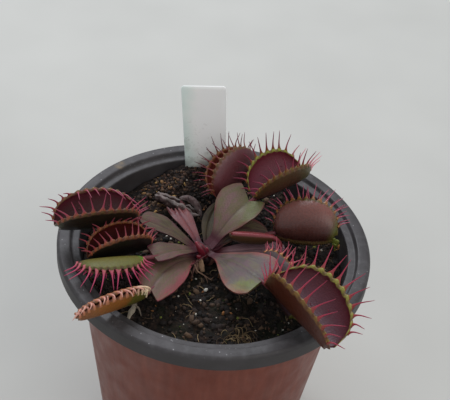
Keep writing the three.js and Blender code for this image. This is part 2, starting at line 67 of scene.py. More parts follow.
def smooth(t):
    """From 0 to 1 with soft ends."""
    c = np.clip(t, 0.0, 1.0)
    return c * c * (3 - 2 * c)


def unit(v):
    return np.asarray(v, float) / np.linalg.norm(v, axis=-1, keepdims=True)


def square_to(direction, guide):
    """The unit vector nearest the guide that is square to a direction."""
    return unit(guide - direction * np.dot(guide, direction))


def circle(count):
    """Angles evenly round a circle."""
    return np.arange(count) * FULL_TURN / count


def bezier(a, b, c, d, steps):
    """Points along a curve from a to d, drawn towards b and c."""
    a, b, c, d = (np.asarray(point, float) for point in (a, b, c, d))
    t = np.linspace(0, 1, steps)[:, None]
    return (1 - t) ** 3 * a + 3 * (1 - t) ** 2 * t * b + 3 * (1 - t) * t ** 2 * c + t ** 3 * d


def seeded(seed):
    """The solids' own run of random numbers, so that each fine tooth lies where its solid lies."""
    while True:
        seed = (seed * 1664525 + 1013904223) % 4294967296
        yield seed / 4294967296


def loft(count, width):
    """Faces between rows of points that each go once round, with both ends capped."""
    sides = [(i + j, i + (j + 1) % width, i + width + (j + 1) % width, i + width + j)
             for i in range(0, (count - 1) * width, width) for j in range(width)]
    return sides + [tuple(range(width)), tuple(range(count * width - 1, (count - 1) * width - 1, -1))]


def sheet(count, width):
    """Faces of two layers of count by width points, joined round their edge."""
    under = count * width
    faces = []
    for i in range(0, under - width, width):
        for a in range(i, i + width - 1):
            b = a + width
            faces += [(a, b, b + 1, a + 1), (under + a, under + a + 1, under + b + 1, under + b)]
        faces += [(a, a + width, under + a + width, under + a) for a in (i, i + width - 1)]
    return faces + [(a, a + 1, under + a + 1, under + a)
                    for a in (*range(width - 1), *range(under - width, under - 1))]


def walk(path, guide):
    """Along a path, each point with its two directions across: nearest the guide, and square to that."""
    for here, direction in zip(path, unit(np.gradient(np.asarray(path, float), axis=0))):
        wide = square_to(direction, guide)
        yield here, wide, np.cross(direction, wide)


def tube(path, radii, sides=8, flat=1.0, guide=(0.31, 0.52, 0.8)):
    """A closed tube along a path, squeezed by flat square to the guide."""
    turn, count = circle(sides)[:, None], len(path)
    sizes = zip(np.broadcast_to(radii, count), np.broadcast_to(flat, count))
    rows = [here + radius * (np.cos(turn) * wide + squeeze * np.sin(turn) * thin)
            for (here, wide, thin), (radius, squeeze) in zip(walk(path, guide), sizes)]
    return np.concatenate(rows), loft(count, sides)


def placed(name, data):
    """A new object in the scene."""
    made = bpy.data.objects.new(name, data)
    bpy.context.scene.collection.objects.link(made)
    return made


class Shape:
    """Points in millimetres with faces and, for each point, the values that the materials read."""

    def __init__(self, *values):
        self.points, self.faces, self.slots, self.count = [], [], [], 0
        self.values = {name: [] for name in values}

    def add(self, points, faces, slots=None, **values):
        """Adds a part, with one value of each kind for all its points or one for each."""
        points = np.reshape(points, (-1, 3))
        self.points.append(points)
        self.faces += [tuple(self.count + i for i in face) for face in faces]
        self.slots += slots or [0] * len(faces)
        self.count += len(points)
        for name, kept in self.values.items():
            kept.append(np.broadcast_to(np.ravel(values.get(name, 0.0)), len(points)))

    def build(self, name, materials=()):
        """The object itself, with all its faces turned outwards."""
        mesh = bpy.data.meshes.new(name)
        mesh.from_pydata((np.concatenate(self.points) * MM).tolist(), [], self.faces)
        for material in materials:
            mesh.materials.append(material)
        mesh.polygons.foreach_set("material_index", self.slots)
        for key, kept in self.values.items():
            layer = mesh.attributes.new(key, "FLOAT", "POINT")
            layer.data.foreach_set("value", np.concatenate(kept).astype(np.float32))
        tidy = bmesh.new()
        tidy.from_mesh(mesh)
        bmesh.ops.recalc_face_normals(tidy, faces=tidy.faces)
        tidy.to_mesh(mesh)
        tidy.free()
        return placed(name, mesh)

    def piece(self, name, materials, slot_name, replaces=(), sharp=None):
        """A piece that rides with the whole, smooth up to a sharp angle, in place of the solids it replaces.
        What it stands for, its slot name, is not used.
        """
        made = self.build(name, materials)
        made.data.polygons.foreach_set("use_smooth", [True] * len(made.data.polygons))
        if sharp is not None:
            made.data.set_sharp_from_angle(angle=math.radians(sharp))
        made.data.update()
        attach(made, "root")
        if replaces:
            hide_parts(*replaces)
        return made


# The leaves, as the solids have them. PLAIN has what only the fine pieces show: whether the trap is dead,
# teeth that away from the neck get longer on one lobe and shorter on the other (longer, a share), tips hooked
# over the other lobe (hook, mm), each lobe's height (lobes, a share) and how blunt its ends are (taper, at
# neck and tip), teeth of a lobe curled inwards (curl) and the teeth's thickness (thick, a share). Seen from
# the neck, pairs are for the left lobe and the right one.

LEAF = "name neck heading pitch length height roll gape cup bow teeth tooth_length tooth_lean stalk".split()
STALK = "start width widest shoulder arch sway rise".split()
PLAIN = dict(dead=False, longer=0.0, hook=0.0, lobes=(1, 1), taper=((0, 0), (0, 0)), curl=(0, 0), thick=1.0)


def leaf(*solid, **finer):
    """A leaf with its trap's axes: along it, out of its mouth and across it."""
    it = SimpleNamespace(**{**PLAIN, **dict(zip(LEAF, solid)), **finer})
    heading, pitch, roll = math.radians(it.heading), math.radians(it.pitch), math.radians(it.roll)
    it.gape, it.cup = math.radians(it.gape), math.radians(it.cup)
    it.along = np.array([math.cos(heading) * math.cos(pitch), math.sin(heading) * math.cos(pitch),
                         math.sin(pitch)])
    up = square_to(it.along, UP)
    it.mouth = math.cos(roll) * up + math.sin(roll) * np.cross(it.along, up)
    it.across = np.cross(it.along, it.mouth)
    return it


def stalk(*solid, tail=(0.45, 0.45), end=None, foot=1.2):
    """A stalk: the values in STALK, how much of each half's width is left at its end (tail), where it ends
    if that isn't before the trap, and the half width of its foot on the crown. Seen from the crown, pairs
    are for the right half and the left one."""
    return SimpleNamespace(**dict(zip(STALK, solid)), tail=tail, end=end, foot=foot)


LEAVES = [
    leaf("upper_left", (-26.4, 2, 88), -153, 7, 25.3, 11.8, 4, 30, 22, 0.06, 14, (6, 6), (-12, -8),
         stalk(79.4, (4.4, 2.6), 0.75, (0.2, 0.2), 1.5, 0, (8, 0), foot=1.4), curl=(0, 1)),
    leaf("mid_left", (-21, -5.2, 83), -146, 8, 20.2, 10.8, 2, 20, 26, 0.05, 14, (5, 5), (-6, -6),
         stalk(77.2, (1.9, 1.9), 0.6, (0.2, 0.2), -1, -1, (8, 8)), curl=(0.35, 0.3)),
    leaf("low_left", (-21.5, -15.3, 86.7), -159, 5, 19.6, 10.5, -70, 4, 35, 0.05, 14, (4, 5.4), (60, -22),
         stalk(81, (5.2, 2.8), 0.8, (-0.8, 0), 0.8, 0, (2, -4),
               tail=(0.85, 0.8), end=(-18.2, -13.2, 86.5), foot=1.5),
         longer=0.5, lobes=(0.7, 0.9), taper=((0.5, 0.6), (0.5, 0.6))),
    leaf("front_left", (-19.9, -28.2, 83.4), -130, 18.5, 26.2, 9, -16, 1.4, 38, 0.04, 15,
         (2.2, 3.4), (-4, -20),
         stalk(78.6, (7, 6.8), 0.58, (1, 2.6), 1.2, -2, (8, -10), tail=(0.5, 0.66), end=(-17.6, -24.4, 83.4)),
         hook=1.3, lobes=(0.74, 0.88), thick=1.6),
    leaf("back", (-0.2, 20, 84), 51, 22, 18.8, 12.5, -39, 15, 26, 0.06, 13, (5.8, 5.8), (-8, -8),
         stalk(77.4, (2.4, 2.4), 0.6, (0.4, 0.4), 0, 1.4, (10, 10)), thick=0.7),
    leaf("upper_right", (11.1, 15.4, 90), 34, 9, 19.8, 13.2, -11, 32, 24, 0.04, 14, (6.4, 6.4), (-4, -4),
         stalk(81.2, (6.4, 8.8), 0.78, (3, 3.4), 1.5, 0, (0, 14), tail=(0.75, 0.7), foot=1.9),
         taper=((0.0, 0.7), (0.2, -0.2))),
    leaf("right", (18.8, 7.9, 83), -4, 6, 19.8, 14, -46, 4, 48, 0.12, 14, (6, 6), (20, 14),
         stalk(79.5, (2.6, 5), 0.6, (0.4, 0.4), 0.6, 2.6, (8, 22)), lobes=(0.98, 1.1)),
    leaf("front_right", (17.1, -22.6, 89), -53, 2, 30.4, 15.8, -20, 34, 24, 0, 14, (7.4, 8.4), (14, -32),
         stalk(79.8, (9.4, 8.8), 0.8, (0.8, 0.5), 1.5, 0, (-10, 10), tail=(0.7, 0.5)),
         lobes=(1.0, 0.87), taper=((0.4, -0.2), (1.7, -0.15))),
    leaf("under_right", (14.8, -5.2, 82.6), -64, -2, 26.1, 9.5, -49, 4, 34, 0.04, 14, (5.4, 5.4), (0, 0),
         stalk(76.4, (1.9, 1.9), 0.6, (0.2, 0.2), -0.4, -0.6, (5, 5))),
    leaf("young", (18.8, 2, 85.7), -177, 0, 14, 4, 148, 4, 46, 0.02, 0, (0, 0), (0, 0),
         stalk(78.2, (3.3, 3.2), 0.5, (0, 0), 0, 0, (8, 4), end=(22.6, 3.1, 81.1), foot=1.7),
         lobes=(1.3, 1.3), taper=((0.1, 0.5), (0.1, 0.5))),
    leaf("withered", (-21, 24.8, 79.3), -22, -5, 16.2, 5, -24, 12, 34, 0.05, 8, (1.8, 1.8), (-20, -20),
         stalk(78.6, (3.3, 3.3), 0.85, (0.6, 0.6), 0.8, 0, (0, 0), tail=(0.85, 0.85), end=(-13.8, 17.4, 80)),
         dead=True),
]


# The form of a leaf. These repeat the rules of the solids at a finer grain. A lobe is -1 or 1.

def lobe_points(leaf, lobe, turn, reach):
    """Points of a lobe's inner face: turn from the neck end (0) to the tip end (pi), and reach from the
    midrib (0) to the margin (1)."""
    turn, reach = np.broadcast_arrays(np.asarray(turn, float), np.asarray(reach, float))
    neck_taper, tip_taper = leaf.taper[lobe > 0]
    blunt = 0.72 + neck_taper * smooth(1 - turn / 1.3) + tip_taper * smooth(1 - (math.pi - turn) / 1.3)
    height = leaf.height * leaf.lobes[lobe > 0] * np.sin(turn) ** blunt
    first, last = leaf.gape + leaf.cup, leaf.gape + leaf.cup * (1 - 2 * reach)
    rise = (math.sin(first) - np.sin(last)) / (2 * leaf.cup)
    spread = (np.cos(last) - math.cos(first)) / (2 * leaf.cup)
    rib, edge = 0.5 - 0.47 * np.cos(turn), 0.51 - 0.53 * np.cos(turn)
    return (leaf.neck + (leaf.length * (rib + (edge - rib) * reach))[..., None] * leaf.along
            + (height * rise - leaf.bow * leaf.length * np.sin(turn))[..., None] * leaf.mouth
            + (lobe * height * spread)[..., None] * leaf.across)


def skin_directions(leaf, lobe, reach):
    """Outwards from the skin, and on towards the margin, at a reach of a lobe."""
    angle = leaf.gape + leaf.cup * (1 - 2 * reach)
    return (lobe * math.cos(angle) * leaf.across - math.sin(angle) * leaf.mouth,
            lobe * math.sin(angle) * leaf.across + math.cos(angle) * leaf.mouth)


def tooth_pitch(leaf):
    """The turn from one tooth to the next."""
    return (LAST_TURN - FIRST_TURN) / (max(leaf.teeth, 1) + 0.5)


def tooth_turn(leaf, lobe, k):
    """Where a tooth stands. Those of one lobe stand between those of the other."""
    return FIRST_TURN + tooth_pitch(leaf) * (k + 0.5 + 0.5 * (lobe > 0))


def scallop(leaf, lobe, turn):
    """1 at the root of each tooth and 0 half way to the next."""
    phase = (turn - tooth_turn(leaf, lobe, 0)) / tooth_pitch(leaf)
    return 0.5 + 0.5 * np.cos(FULL_TURN * phase) if leaf.teeth else np.zeros_like(turn)


# The lines of points from midrib to margin, close together where the margin swells by LIP.
REACHES = [0, 0.05, 0.12, 0.2, 0.3, 0.4, 0.5, 0.6, 0.7, 0.78, 0.84, 0.885, 0.92, 0.95, 0.975, 0.992]
LIP = 0.34
INNER, EDGE, OUTER = 0.0, 0.5, 1.0
# The share of teeth that are fused in pairs, how near the tips of such a pair come, and how far a tip
# strays, as a share of its tooth's length.
FUSED_SHARE, FUSED_PULL, TIP_STRAY = 0.16, 0.3, 0.07


def lobe_layer(leaf, lobe, turns, reach, layer):
    """One line of points along a lobe, on its inner face, its rounded edge or its outer face."""
    bump = scallop(leaf, lobe, turns)
    near_edge = smooth((reach - 0.84) / 0.14)
    points = lobe_points(leaf, lobe, turns,
                         reach * (1 + 0.05 * near_edge * (bump - 0.3) * np.sin(turns) ** 0.3))
    outward, onward = skin_directions(leaf, lobe, reach)
    bead = math.exp(-((reach - 0.945) / 0.035) ** 2)
    shrink = np.clip(np.sin(turns) * 6, 0.25, 1)[:, None]
    if layer == INNER:
        return points - outward * shrink * LIP * bead * (0.35 + 0.65 * bump)[:, None]
    if layer == EDGE:
        return points + outward * 0.3 * shrink + onward * 0.16 * shrink
    if reach == 0:
        return points - leaf.mouth * 1.5 * TRAP_SKIN * shrink
    skin = TRAP_SKIN * (1 - 0.35 * smooth((reach - 0.9) / 0.1))
    return points + outward * shrink * (skin + 0.12 * bead * bump[:, None])


def crumpled(leaf, points, number):
    """The folds of a dead trap."""
    folds = []
    for point in points:
        coarse, fine = Vector(point) * 0.4, Vector(point) * 1.1
        folds.append(leaf.across * (noise.noise(coarse) * 1.5 + noise.noise(fine) * 0.16) + leaf.mouth
                     * (noise.noise(coarse + Vector((9, number, 4))) * 1.2 + noise.noise(fine * 1.2) * 0.12))
    return points + np.array(folds)


def dead_flap(shape):
    """The dead leaf's free end: a thin blade that curls over from the trap and hangs down on its right."""
    count, columns, guide = 30, np.linspace(-1, 1, 13), (0.75, 0.6, 0.35)
    path = bezier((-13.4, 21.6, 81.2), (-10.4, 22.0, 83.0), (-6.6, 20.0, 81.6), (-5.6, 17.2, 77.4), count)
    points = []
    for layer in (0.0, 0.35):
        for share, (here, wide, thin) in zip(np.linspace(0, 1, count), walk(path, guide)):
            half = 1.15 * math.sin(math.pi * (0.12 + 0.8 * share)) ** 0.6
            for v in columns:
                spot = here + wide * half * v - thin * (0.75 * half * (v ** 2 - 0.5) + layer)
                points.append(spot + 0.22 * noise.noise(Vector(spot) * 1.3) * thin)
    shape.add(points, sheet(count, len(columns)), reach=np.tile(abs(columns), 2 * count), tooth=1.0)


def tooth(leaf, lobe, turn, tip, fused):
    """A curved tooth, flat at its root and round towards its tip, and each point's share of its length."""
    steps, sides = 12, 8
    outward, onward = skin_directions(leaf, lobe, 1.0)
    base = lobe_points(leaf, lobe, turn, 1.0) + outward * TRAP_SKIN * 0.45
    size = np.linalg.norm(tip - base)
    aim = (tip - base) / size
    over = leaf.mouth * leaf.hook * 1.2
    path = bezier(base - onward * 0.9, base + (0.65 * onward + 0.35 * aim) * size * 0.3 + over * 0.4,
                  base + aim * size * 0.68 + over, tip, steps)
    s = np.linspace(0, 1, steps)
    spacing = leaf.length * 0.53 * math.sin(turn) * tooth_pitch(leaf)
    root = min(1.15, 0.42 * max(spacing, 1.1)) * min(leaf.thick, 1 / leaf.thick) * (1.35 if fused else 1.0)
    radii = 0.05 + 0.25 * leaf.thick * (1 - s) ** 0.75 + (root - 0.3) * np.exp(-(s / 0.19) ** 2)
    flat = np.minimum(radii, 0.05 + 0.3 * leaf.thick * (1 - s) ** 0.8) / radii
    along_margin = lobe_points(leaf, lobe, turn + 0.02, 1.0) - lobe_points(leaf, lobe, turn - 0.02, 1.0)
    return *tube(path, radii, sides, flat, along_margin), np.repeat(s, sides)


def tooth_tips(leaf, seed):
    """Where the solids' teeth stand and end: (lobe, turn, tip) for each."""
    draw = seeded(seed)
    tips = []
    for lobe, k in ((lobe, k) for lobe in (-1, 1) for k in range(leaf.teeth)):
        turn = tooth_turn(leaf, lobe, k)
        lean = leaf.gape - leaf.cup + math.radians(leaf.tooth_lean[lobe > 0] + 10 * (next(draw) - 0.5))
        aim = (leaf.mouth * math.cos(lean) + lobe * math.sin(lean) * leaf.across) * max(math.sin(turn), 0.35)
        aim = unit(aim + leaf.along * (-0.85 * math.cos(turn) + 0.14 * (next(draw) - 0.5)))
        size = leaf.tooth_length[lobe > 0] * (0.6 + 0.4 * math.sin(turn)) * (0.88 + 0.24 * next(draw))
        size *= 1 + lobe * leaf.longer * smooth((turn - 1.0) / 0.7)
        root = lobe_points(leaf, lobe, turn, 1.0) + skin_directions(leaf, lobe, 1.0)[0] * TRAP_SKIN / 2
        curl = leaf.curl[lobe > 0] * smooth((2.45 - turn) / 0.5)
        reach = aim * size * (1 - 0.5 * curl) - (lobe * leaf.across * 0.9 + leaf.mouth * 0.35) * size * curl
        tips.append((lobe, turn, root + reach - leaf.mouth * leaf.hook))
    return tips


def trap_shape(leaf, number):
    """A whole trap: both lobes in one skin, its teeth and, in an open trap, its trigger hairs."""
    shape = Shape("reach", "turn", "outer", "tooth", "bead", "lobe")
    turns = np.linspace(0.012, math.pi - 0.012, 6 * max(leaf.teeth, 9) + 13)
    if leaf.dead:
        fallen_in = dict(height=leaf.height * 0.6, gape=math.radians(34), taper=((-0.3, -0.3), (-0.3, -0.3)),
                         neck=leaf.neck + np.array([-0.6, -1.0, -0.4]))
        leaf = SimpleNamespace(**{**vars(leaf), **fallen_in})
    ring = [(-1, r, INNER) for r in reversed(REACHES[1:])] + [(1, r, INNER) for r in REACHES]
    ring += [(1, 1.0, EDGE)] + [(1, r, OUTER) for r in reversed(REACHES[1:])]
    ring += [(-1, r, OUTER) for r in REACHES] + [(-1, 1.0, EDGE)]
    points = np.stack([lobe_layer(leaf, lobe, turns, *place) for lobe, *place in ring], axis=1).reshape(-1, 3)
    lobes, reaches, layers = (np.tile(column, len(turns)) for column in zip(*ring))
    shape.add(crumpled(leaf, points, number) if leaf.dead else points, loft(len(turns), len(ring)),
              reach=reaches, turn=np.repeat(turns / math.pi, len(ring)), outer=layers, lobe=lobes,
              bead=np.stack([scallop(leaf, lobe, turns) for lobe, *_ in ring], axis=1))
    rng = random.Random(700 + number)
    tips = [] if leaf.dead else tooth_tips(leaf, 101 + number)
    fused_with = {}
    for k in range(len(tips) - 1):
        if tips[k][0] == tips[k + 1][0] and k not in fused_with and rng.random() < FUSED_SHARE:
            fused_with[k], fused_with[k + 1] = k + 1, k
    for k, (lobe, turn, tip) in enumerate(tips):
        if k in fused_with:
            tip = tip + FUSED_PULL * (tips[fused_with[k]][2] - tip)
        # No two teeth stand quite alike.
        tip = tip + TIP_STRAY * np.linalg.norm(tip - lobe_points(leaf, lobe, turn, 1.0)) * np.array(
            [rng.gauss(0, 1) for _ in range(3)])
        points, faces, share = tooth(leaf, lobe, turn, tip, k in fused_with)
        shape.add(points, faces, reach=1.0, turn=turn / math.pi, outer=EDGE, bead=1.0,
                  tooth=0.02 + 0.98 * share)
    if leaf.gape > math.radians(14):
        hairs = [(lobe, *at) for lobe in (-1, 1) for at in ((1.15, 0.52), (1.95, 0.52), (1.55, 0.34))]
        for lobe, turn, reach in hairs:
            outward, onward = skin_directions(leaf, lobe, reach)
            root = lobe_points(leaf, lobe, turn, reach)
            path = [root - outward * out + onward * on
                    for out, on in ((-0.2, 0), (0.6, 0), (1.2, 0.1), (1.7, 0.25))]
            shape.add(*tube(path, [0.13, 0.09, 0.06, 0.02], 6), reach=0.5, turn=0.5, tooth=0.5)
    return shape


def stalk_width(stalk, s, half):
    """The width of half a stalk. A plain end is rounded off, an angular one keeps its tail."""
    widest, tail = stalk.width[half], stalk.tail[half]
    if s < stalk.widest:
        return stalk.foot + (widest - stalk.foot) * smooth(s / stalk.widest)
    past = (s - stalk.widest) / (1 - stalk.widest)
    closing = 0.97 * tail ** 2 * past ** 10 if tail < 0.5 else 0.0
    return widest * math.sqrt(max(1 - (1 - tail ** 2) * past ** 3 - closing, 0.0))


def petiole_shape(leaf, number):
    """A leaf-like stalk: folded along its midrib, thin and a little waved at its edges, with a round neck."""
    shape = Shape("along", "across", "under", "neck")
    stalk = leaf.stalk
    trap_start = lobe_points(leaf, 1, 0.0, 0.0)
    flat = unit([trap_start[0] - CROWN[0], trap_start[1] - CROWN[1], 0])
    start = np.array([CROWN[0], CROWN[1], stalk.start]) + flat * (CROWN_RADIUS + 0.4)
    end = np.array(stalk.end) if stalk.end else trap_start - flat * NECK
    along = unit(end - start)
    up = square_to(along, UP)
    side = np.cross(along, up)
    inwards = (5.2 if leaf.name == "young" else 3.0) / np.linalg.norm(end - start)
    rows = np.concatenate([np.linspace(-inwards, 0.8, 40), np.linspace(0.8, 1, 22)[1:]])
    columns = np.linspace(-1, 1, 25)
    upper, lower = [], []
    for s, v in ((s, v) for s in rows for v in columns):
        # Each half, right and left of the midrib, has a width, a fold and a shoulder of its own.
        half, out, c = int(v <= 0), abs(v), max(s, 0.0)
        hump = math.sin(math.pi * c)
        uneven = noise.noise(Vector((5.5 * s, 3.1 * number, 7.0 * half)))
        width = stalk_width(stalk, c, half) * (1 + 0.05 * uneven)
        fold = math.radians(stalk.rise[half])
        wave = 0.16 * math.sin(FULL_TURN * (2.1 * s + 0.37 * number) + 2.0 * half) * out ** 3
        wave *= min(1.0, width / 4) * hump
        groove = -0.22 * math.exp(-(out * width / 0.45) ** 2) * smooth(s / 0.15)
        point = (start + (end - start) * s + up * stalk.arch * hump - side * stalk.sway * hump
                 + side * v * width * math.cos(fold) + up * (out * width * math.sin(fold) + wave + groove)
                 + along * stalk.shoulder[half] * out * (1 - 0.12 * out ** 6) * c ** 5)
        normal = up if out < 1e-6 else up * math.cos(fold) - side * math.copysign(math.sin(fold), v)
        thick = BLADE * (1 - 0.45 * out ** 4) + 0.3 * math.exp(-(out * width / 0.8) ** 2) - 0.1
        upper.append(point)
        lower.append(point - normal * thick)
    points = np.array(upper + lower)
    s_of, v_of = np.tile(np.repeat(rows, len(columns)), 2), np.tile(columns, 2 * len(rows))
    if leaf.dead:
        # The end is torn: long rags at both sides and short ones between.
        torn = np.interp(v_of, [-1, -0.82, -0.6, -0.42, -0.2, 0, 0.2, 0.45, 0.62, 0.8, 1],
                         [1.6, -0.6, 0.9, -0.8, 0.6, -0.9, 0.3, -1.0, 1.0, 2.3, 1.0])
        curl = 1.3 * np.array([noise.noise(Vector((3 * v, 2 * s, 5))) for s, v in zip(s_of, v_of)])
        points += smooth((s_of - 0.72) / 0.28)[:, None] * (torn[:, None] * along + curl[:, None] * up)
    shape.add(points, sheet(len(rows), len(columns)), along=s_of, across=v_of,
              under=np.repeat((0.0, 1.0), len(upper)))
    if not leaf.dead:
        inside = end - along * 2.4 - up * BLADE * 0.5
        neck = trap_start + leaf.along * 0.6 - leaf.mouth * BLADE * 0.4
        reach = np.linalg.norm(neck - inside)
        path = bezier(inside, inside + along * reach * 0.42, neck - leaf.along * reach * 0.3, neck, 12)
        shape.add(*tube(path, np.linspace(0.62, 0.72, 12), 12), along=1.0, neck=1.0)
    return shape


# The pot, the peat and the label.

def wall_radius(z):
    """The wall's outer radius at a height."""
    return FOOT_RADIUS + (LEDGE_INNER_RADIUS + WALL - FOOT_RADIUS) * z / (POT_HEIGHT - RIM_STEP)


PEAT_RADIUS = wall_radius(SOIL_LEVEL) - WALL


def rounded(outline, radius, steps=4):
    """An outline of (radius, height) points with each inner corner rounded off."""
    outline = [np.array(p, float) for p in outline]
    out = [outline[0]]
    for a, b, c in zip(outline, outline[1:], outline[2:]):
        before, after = np.linalg.norm(a - b), np.linalg.norm(c - b)
        cut = min(radius, 0.45 * before, 0.45 * after)
        p, q = b + (a - b) / before * cut, b + (c - b) / after * cut
        out += [(1 - t) ** 2 * p + 2 * (1 - t) * t * b + t ** 2 * q for t in np.linspace(0, 1, steps)]
    return out + [outline[-1]]


def turned(outline, sides):
    """Points and faces of an outline turned about the upright middle line."""
    points = [(r * math.cos(a), r * math.sin(a), z) for a in circle(sides) for r, z in outline]
    n = len(outline)
    pairs = [(k * n + j, (k + 1) % sides * n + j) for k in range(sides) for j in range(n - 1)]
    return points, [(a, b, b + 1, a + 1) for a, b in pairs]


def pot_piece(outside, inside):
    """The sheet in two layers: terracotta outside and below the rim, dark grey on the rim and inside."""
    ledge, band, edge = POT_HEIGHT - RIM_STEP, RIM_RADIUS - RIM_BAND, RIM_RADIUS - WALL
    below = rounded([
        (CENTRE_DISC - 1, 0), (CENTRE_DISC, 0), (CENTRE_DISC + 2, CHANNEL_RISE),
        (FOOT_RING_INNER - 2, CHANNEL_RISE), (FOOT_RING_INNER, 0), (FOOT_RADIUS - 1, 0),
        (wall_radius(1.2), 1.2), (wall_radius(ledge - WALL), ledge - WALL), (band - 0.2, ledge - WALL),
        (band + 0.4, POT_HEIGHT - WALL),
        (edge - 0.3, POT_HEIGHT - WALL), (edge, POT_HEIGHT - WALL - 0.5),
        (edge, POT_HEIGHT - SKIRT_HEIGHT)], 0.5)
    above = rounded([
        (RIM_RADIUS, POT_HEIGHT - SKIRT_HEIGHT), (RIM_RADIUS, POT_HEIGHT - 0.9),
        (RIM_RADIUS - 0.8, POT_HEIGHT), (band, POT_HEIGHT), (band - 0.6, ledge), (LEDGE_INNER_RADIUS, ledge),
        (wall_radius(ledge - 1.6) - WALL, ledge - 1.6), (wall_radius(2) - WALL, 2), (FOOT_RADIUS - 1.6, WALL),
        (FOOT_RING_INNER + 0.5, WALL), (FOOT_RING_INNER - 1.5, CHANNEL_RISE + WALL),
        (CENTRE_DISC + 1.5, CHANNEL_RISE + WALL), (CENTRE_DISC - 0.5, WALL), (CENTRE_DISC - 1, WALL)], 0.45)
    n, sides = len(below + above), 168
    points, faces = turned(below + above, sides)
    slots = [int(j >= len(below) - 1) for j in range(n - 1)] * sides
    # The centre disc closes both faces of the floor.
    middle = len(points)
    points += [(0, 0, 0), (0, 0, WALL)]
    for a, b in ((k * n, (k + 1) % sides * n) for k in range(sides)):
        faces += [(middle, b, a), (middle + 1, a + n - 1, b + n - 1)]
        slots += [0, 1]
    shape = Shape()
    shape.add(points, faces, slots)
    pot = shape.piece("nursery_pot", [outside, inside], "pot_sheet", ["pot"], sharp=38)
    drills = Shape()
    for a in (FULL_TURN * (k + 0.5) / DRAIN_COUNT for k in range(DRAIN_COUNT)):
        path = [(DRAIN_CIRCLE * math.cos(a), DRAIN_CIRCLE * math.sin(a), z) for z in (0.5, 6.0)]
        drills.add(*tube(path, DRAIN_RADIUS, 28))
    cutter, whole = drills.build("drills"), pot.data
    cut = pot.modifiers.new("drain_holes", "BOOLEAN")
    cut.operation, cut.solver, cut.object = "DIFFERENCE", "EXACT", cutter
    drilled = bpy.data.meshes.new_from_object(pot.evaluated_get(bpy.context.evaluated_depsgraph_get()))
    pot.modifiers.clear()
    pot.data = drilled
    bpy.data.meshes.remove(whole)
    bpy.data.objects.remove(cutter)


def soil_height(x, y):
    """The peat's surface: a heap at the back, shallow waves, clods and pits."""
    heap = smooth((y - 16) / 24) * math.exp(-(((x + 6) / 26) ** 2))
    waves = 0.35 * math.sin(0.9 * x + 1.3) * math.cos(0.8 * y) + 0.3 * math.sin(0.37 * x - 0.53 * y)
    spot = Vector((x, y, 0.0))
    clods = 0.9 * noise.fractal(spot * 0.22, 0.9, 2.1, 4)
    clods += 0.55 * abs(noise.noise(spot * 0.75 + Vector((3, 8, 1))))
    pits = -0.5 * max(0.0, noise.noise(spot * 0.5 + Vector((11, 2, 7))))
    return SOIL_LEVEL + HEAP_RISE * heap + waves + clods + pits - 0.15


def peat_body(peat):
    """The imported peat, rough on top and smooth where the pot's wall has pressed it."""
    floor, sides, rings = CHANNEL_RISE + WALL + 0.3, 210, 84
    reach = [(PEAT_RADIUS - SOIL_GAP) * i / rings for i in range(1, rings + 1)]
    spots = [(0.0, 0.0)] + [(r * math.cos(a), r * math.sin(a)) for r in reach for a in circle(sides)]
    points = [(x, y, soil_height(x, y)) for x, y in spots]
    foot = wall_radius(floor) - WALL - SOIL_GAP
    points += [(foot * math.cos(a), foot * math.sin(a), floor) for a in circle(sides)]
    at = lambda i, k: 1 + (i - 1) * sides + k % sides
    faces = [(0, at(1, k), at(1, k + 1)) for k in range(sides)]
    faces += [(at(i, k), at(i + 1, k), at(i + 1, k + 1), at(i, k + 1))
              for i in range(1, rings + 1) for k in range(sides)]
    faces.append(tuple(at(rings + 1, k) for k in reversed(range(sides))))
    shape = Shape()
    shape.add(points, faces)
    shape.piece("peat", [peat], "peat", ["soil"])


def label_piece(plastic):
    """The strip, with rounded top corners, a pointed foot and a slight bow."""
    half, low = LABEL_WIDTH / 2, (LABEL_WIDTH - LABEL_TAPER) / 2
    straight = LABEL_LENGTH - LABEL_CORNER - LABEL_POINT
    right = [(half - LABEL_CORNER * (1 - math.sin(a)), -LABEL_CORNER * (1 - math.cos(a)))
             for a in np.linspace(0, math.pi / 2, 7)]
    right += [(half + (low - half) * t, -LABEL_CORNER - straight * t) for t in np.linspace(0.04, 1, 26)]
    right += [(low * (1 - t), LABEL_POINT * (1 - t) - LABEL_LENGTH) for t in np.linspace(0.15, 0.98, 8)]
    outline = [(-x, z) for x, z in right] + right[::-1]
    points = []
    for depth, shrink in ((-LABEL_HALF, LABEL_EDGE), (-0.17, 0.0), (0.17, 0.0), (LABEL_HALF, LABEL_EDGE)):
        for x, z in outline:
            x -= math.copysign(shrink, x) if abs(x) > shrink else 0
            points.append((x, depth + 0.14 * (x / half) ** 2 - 0.05, z - (shrink if z > -1.2 else 0)))
    n, m = len(outline), len(right)
    faces = loft(4, n)[:-2]
    for base, step in ((0, 1), (3 * n, -1)):
        strips = [(base + j, base + j + 1, base + n - 2 - j, base + n - 1 - j) for j in range(m - 1)]
        faces += [strip[::step] for strip in strips]
    flat = np.array(points)
    tilt = (Matrix.Rotation(math.radians(-LABEL_LEAN_BACK), 3, "X")
            @ Matrix.Rotation(math.radians(-LABEL_LEAN_SIDE), 3, "Y"))
    shape = Shape("across", "down")
    shape.add(flat @ np.array(tilt).T + np.array(LABEL_TOP), faces, across=flat[:, 0] / half,
              down=-flat[:, 2])
    shape.piece("label_strip", [plastic], "label_plastic", ["plant_label"], sharp=40)


# What lies loose on the peat.

def ball():
    """The points and faces of a coarse round ball."""
    made = bmesh.new()
    bmesh.ops.create_icosphere(made, subdivisions=1, radius=1.0)
    found = np.array([v.co[:] for v in made.verts]), [tuple(v.index for v in f.verts) for f in made.faces]
    made.free()
    return found


BALL_POINTS, BALL_FACES = ball()


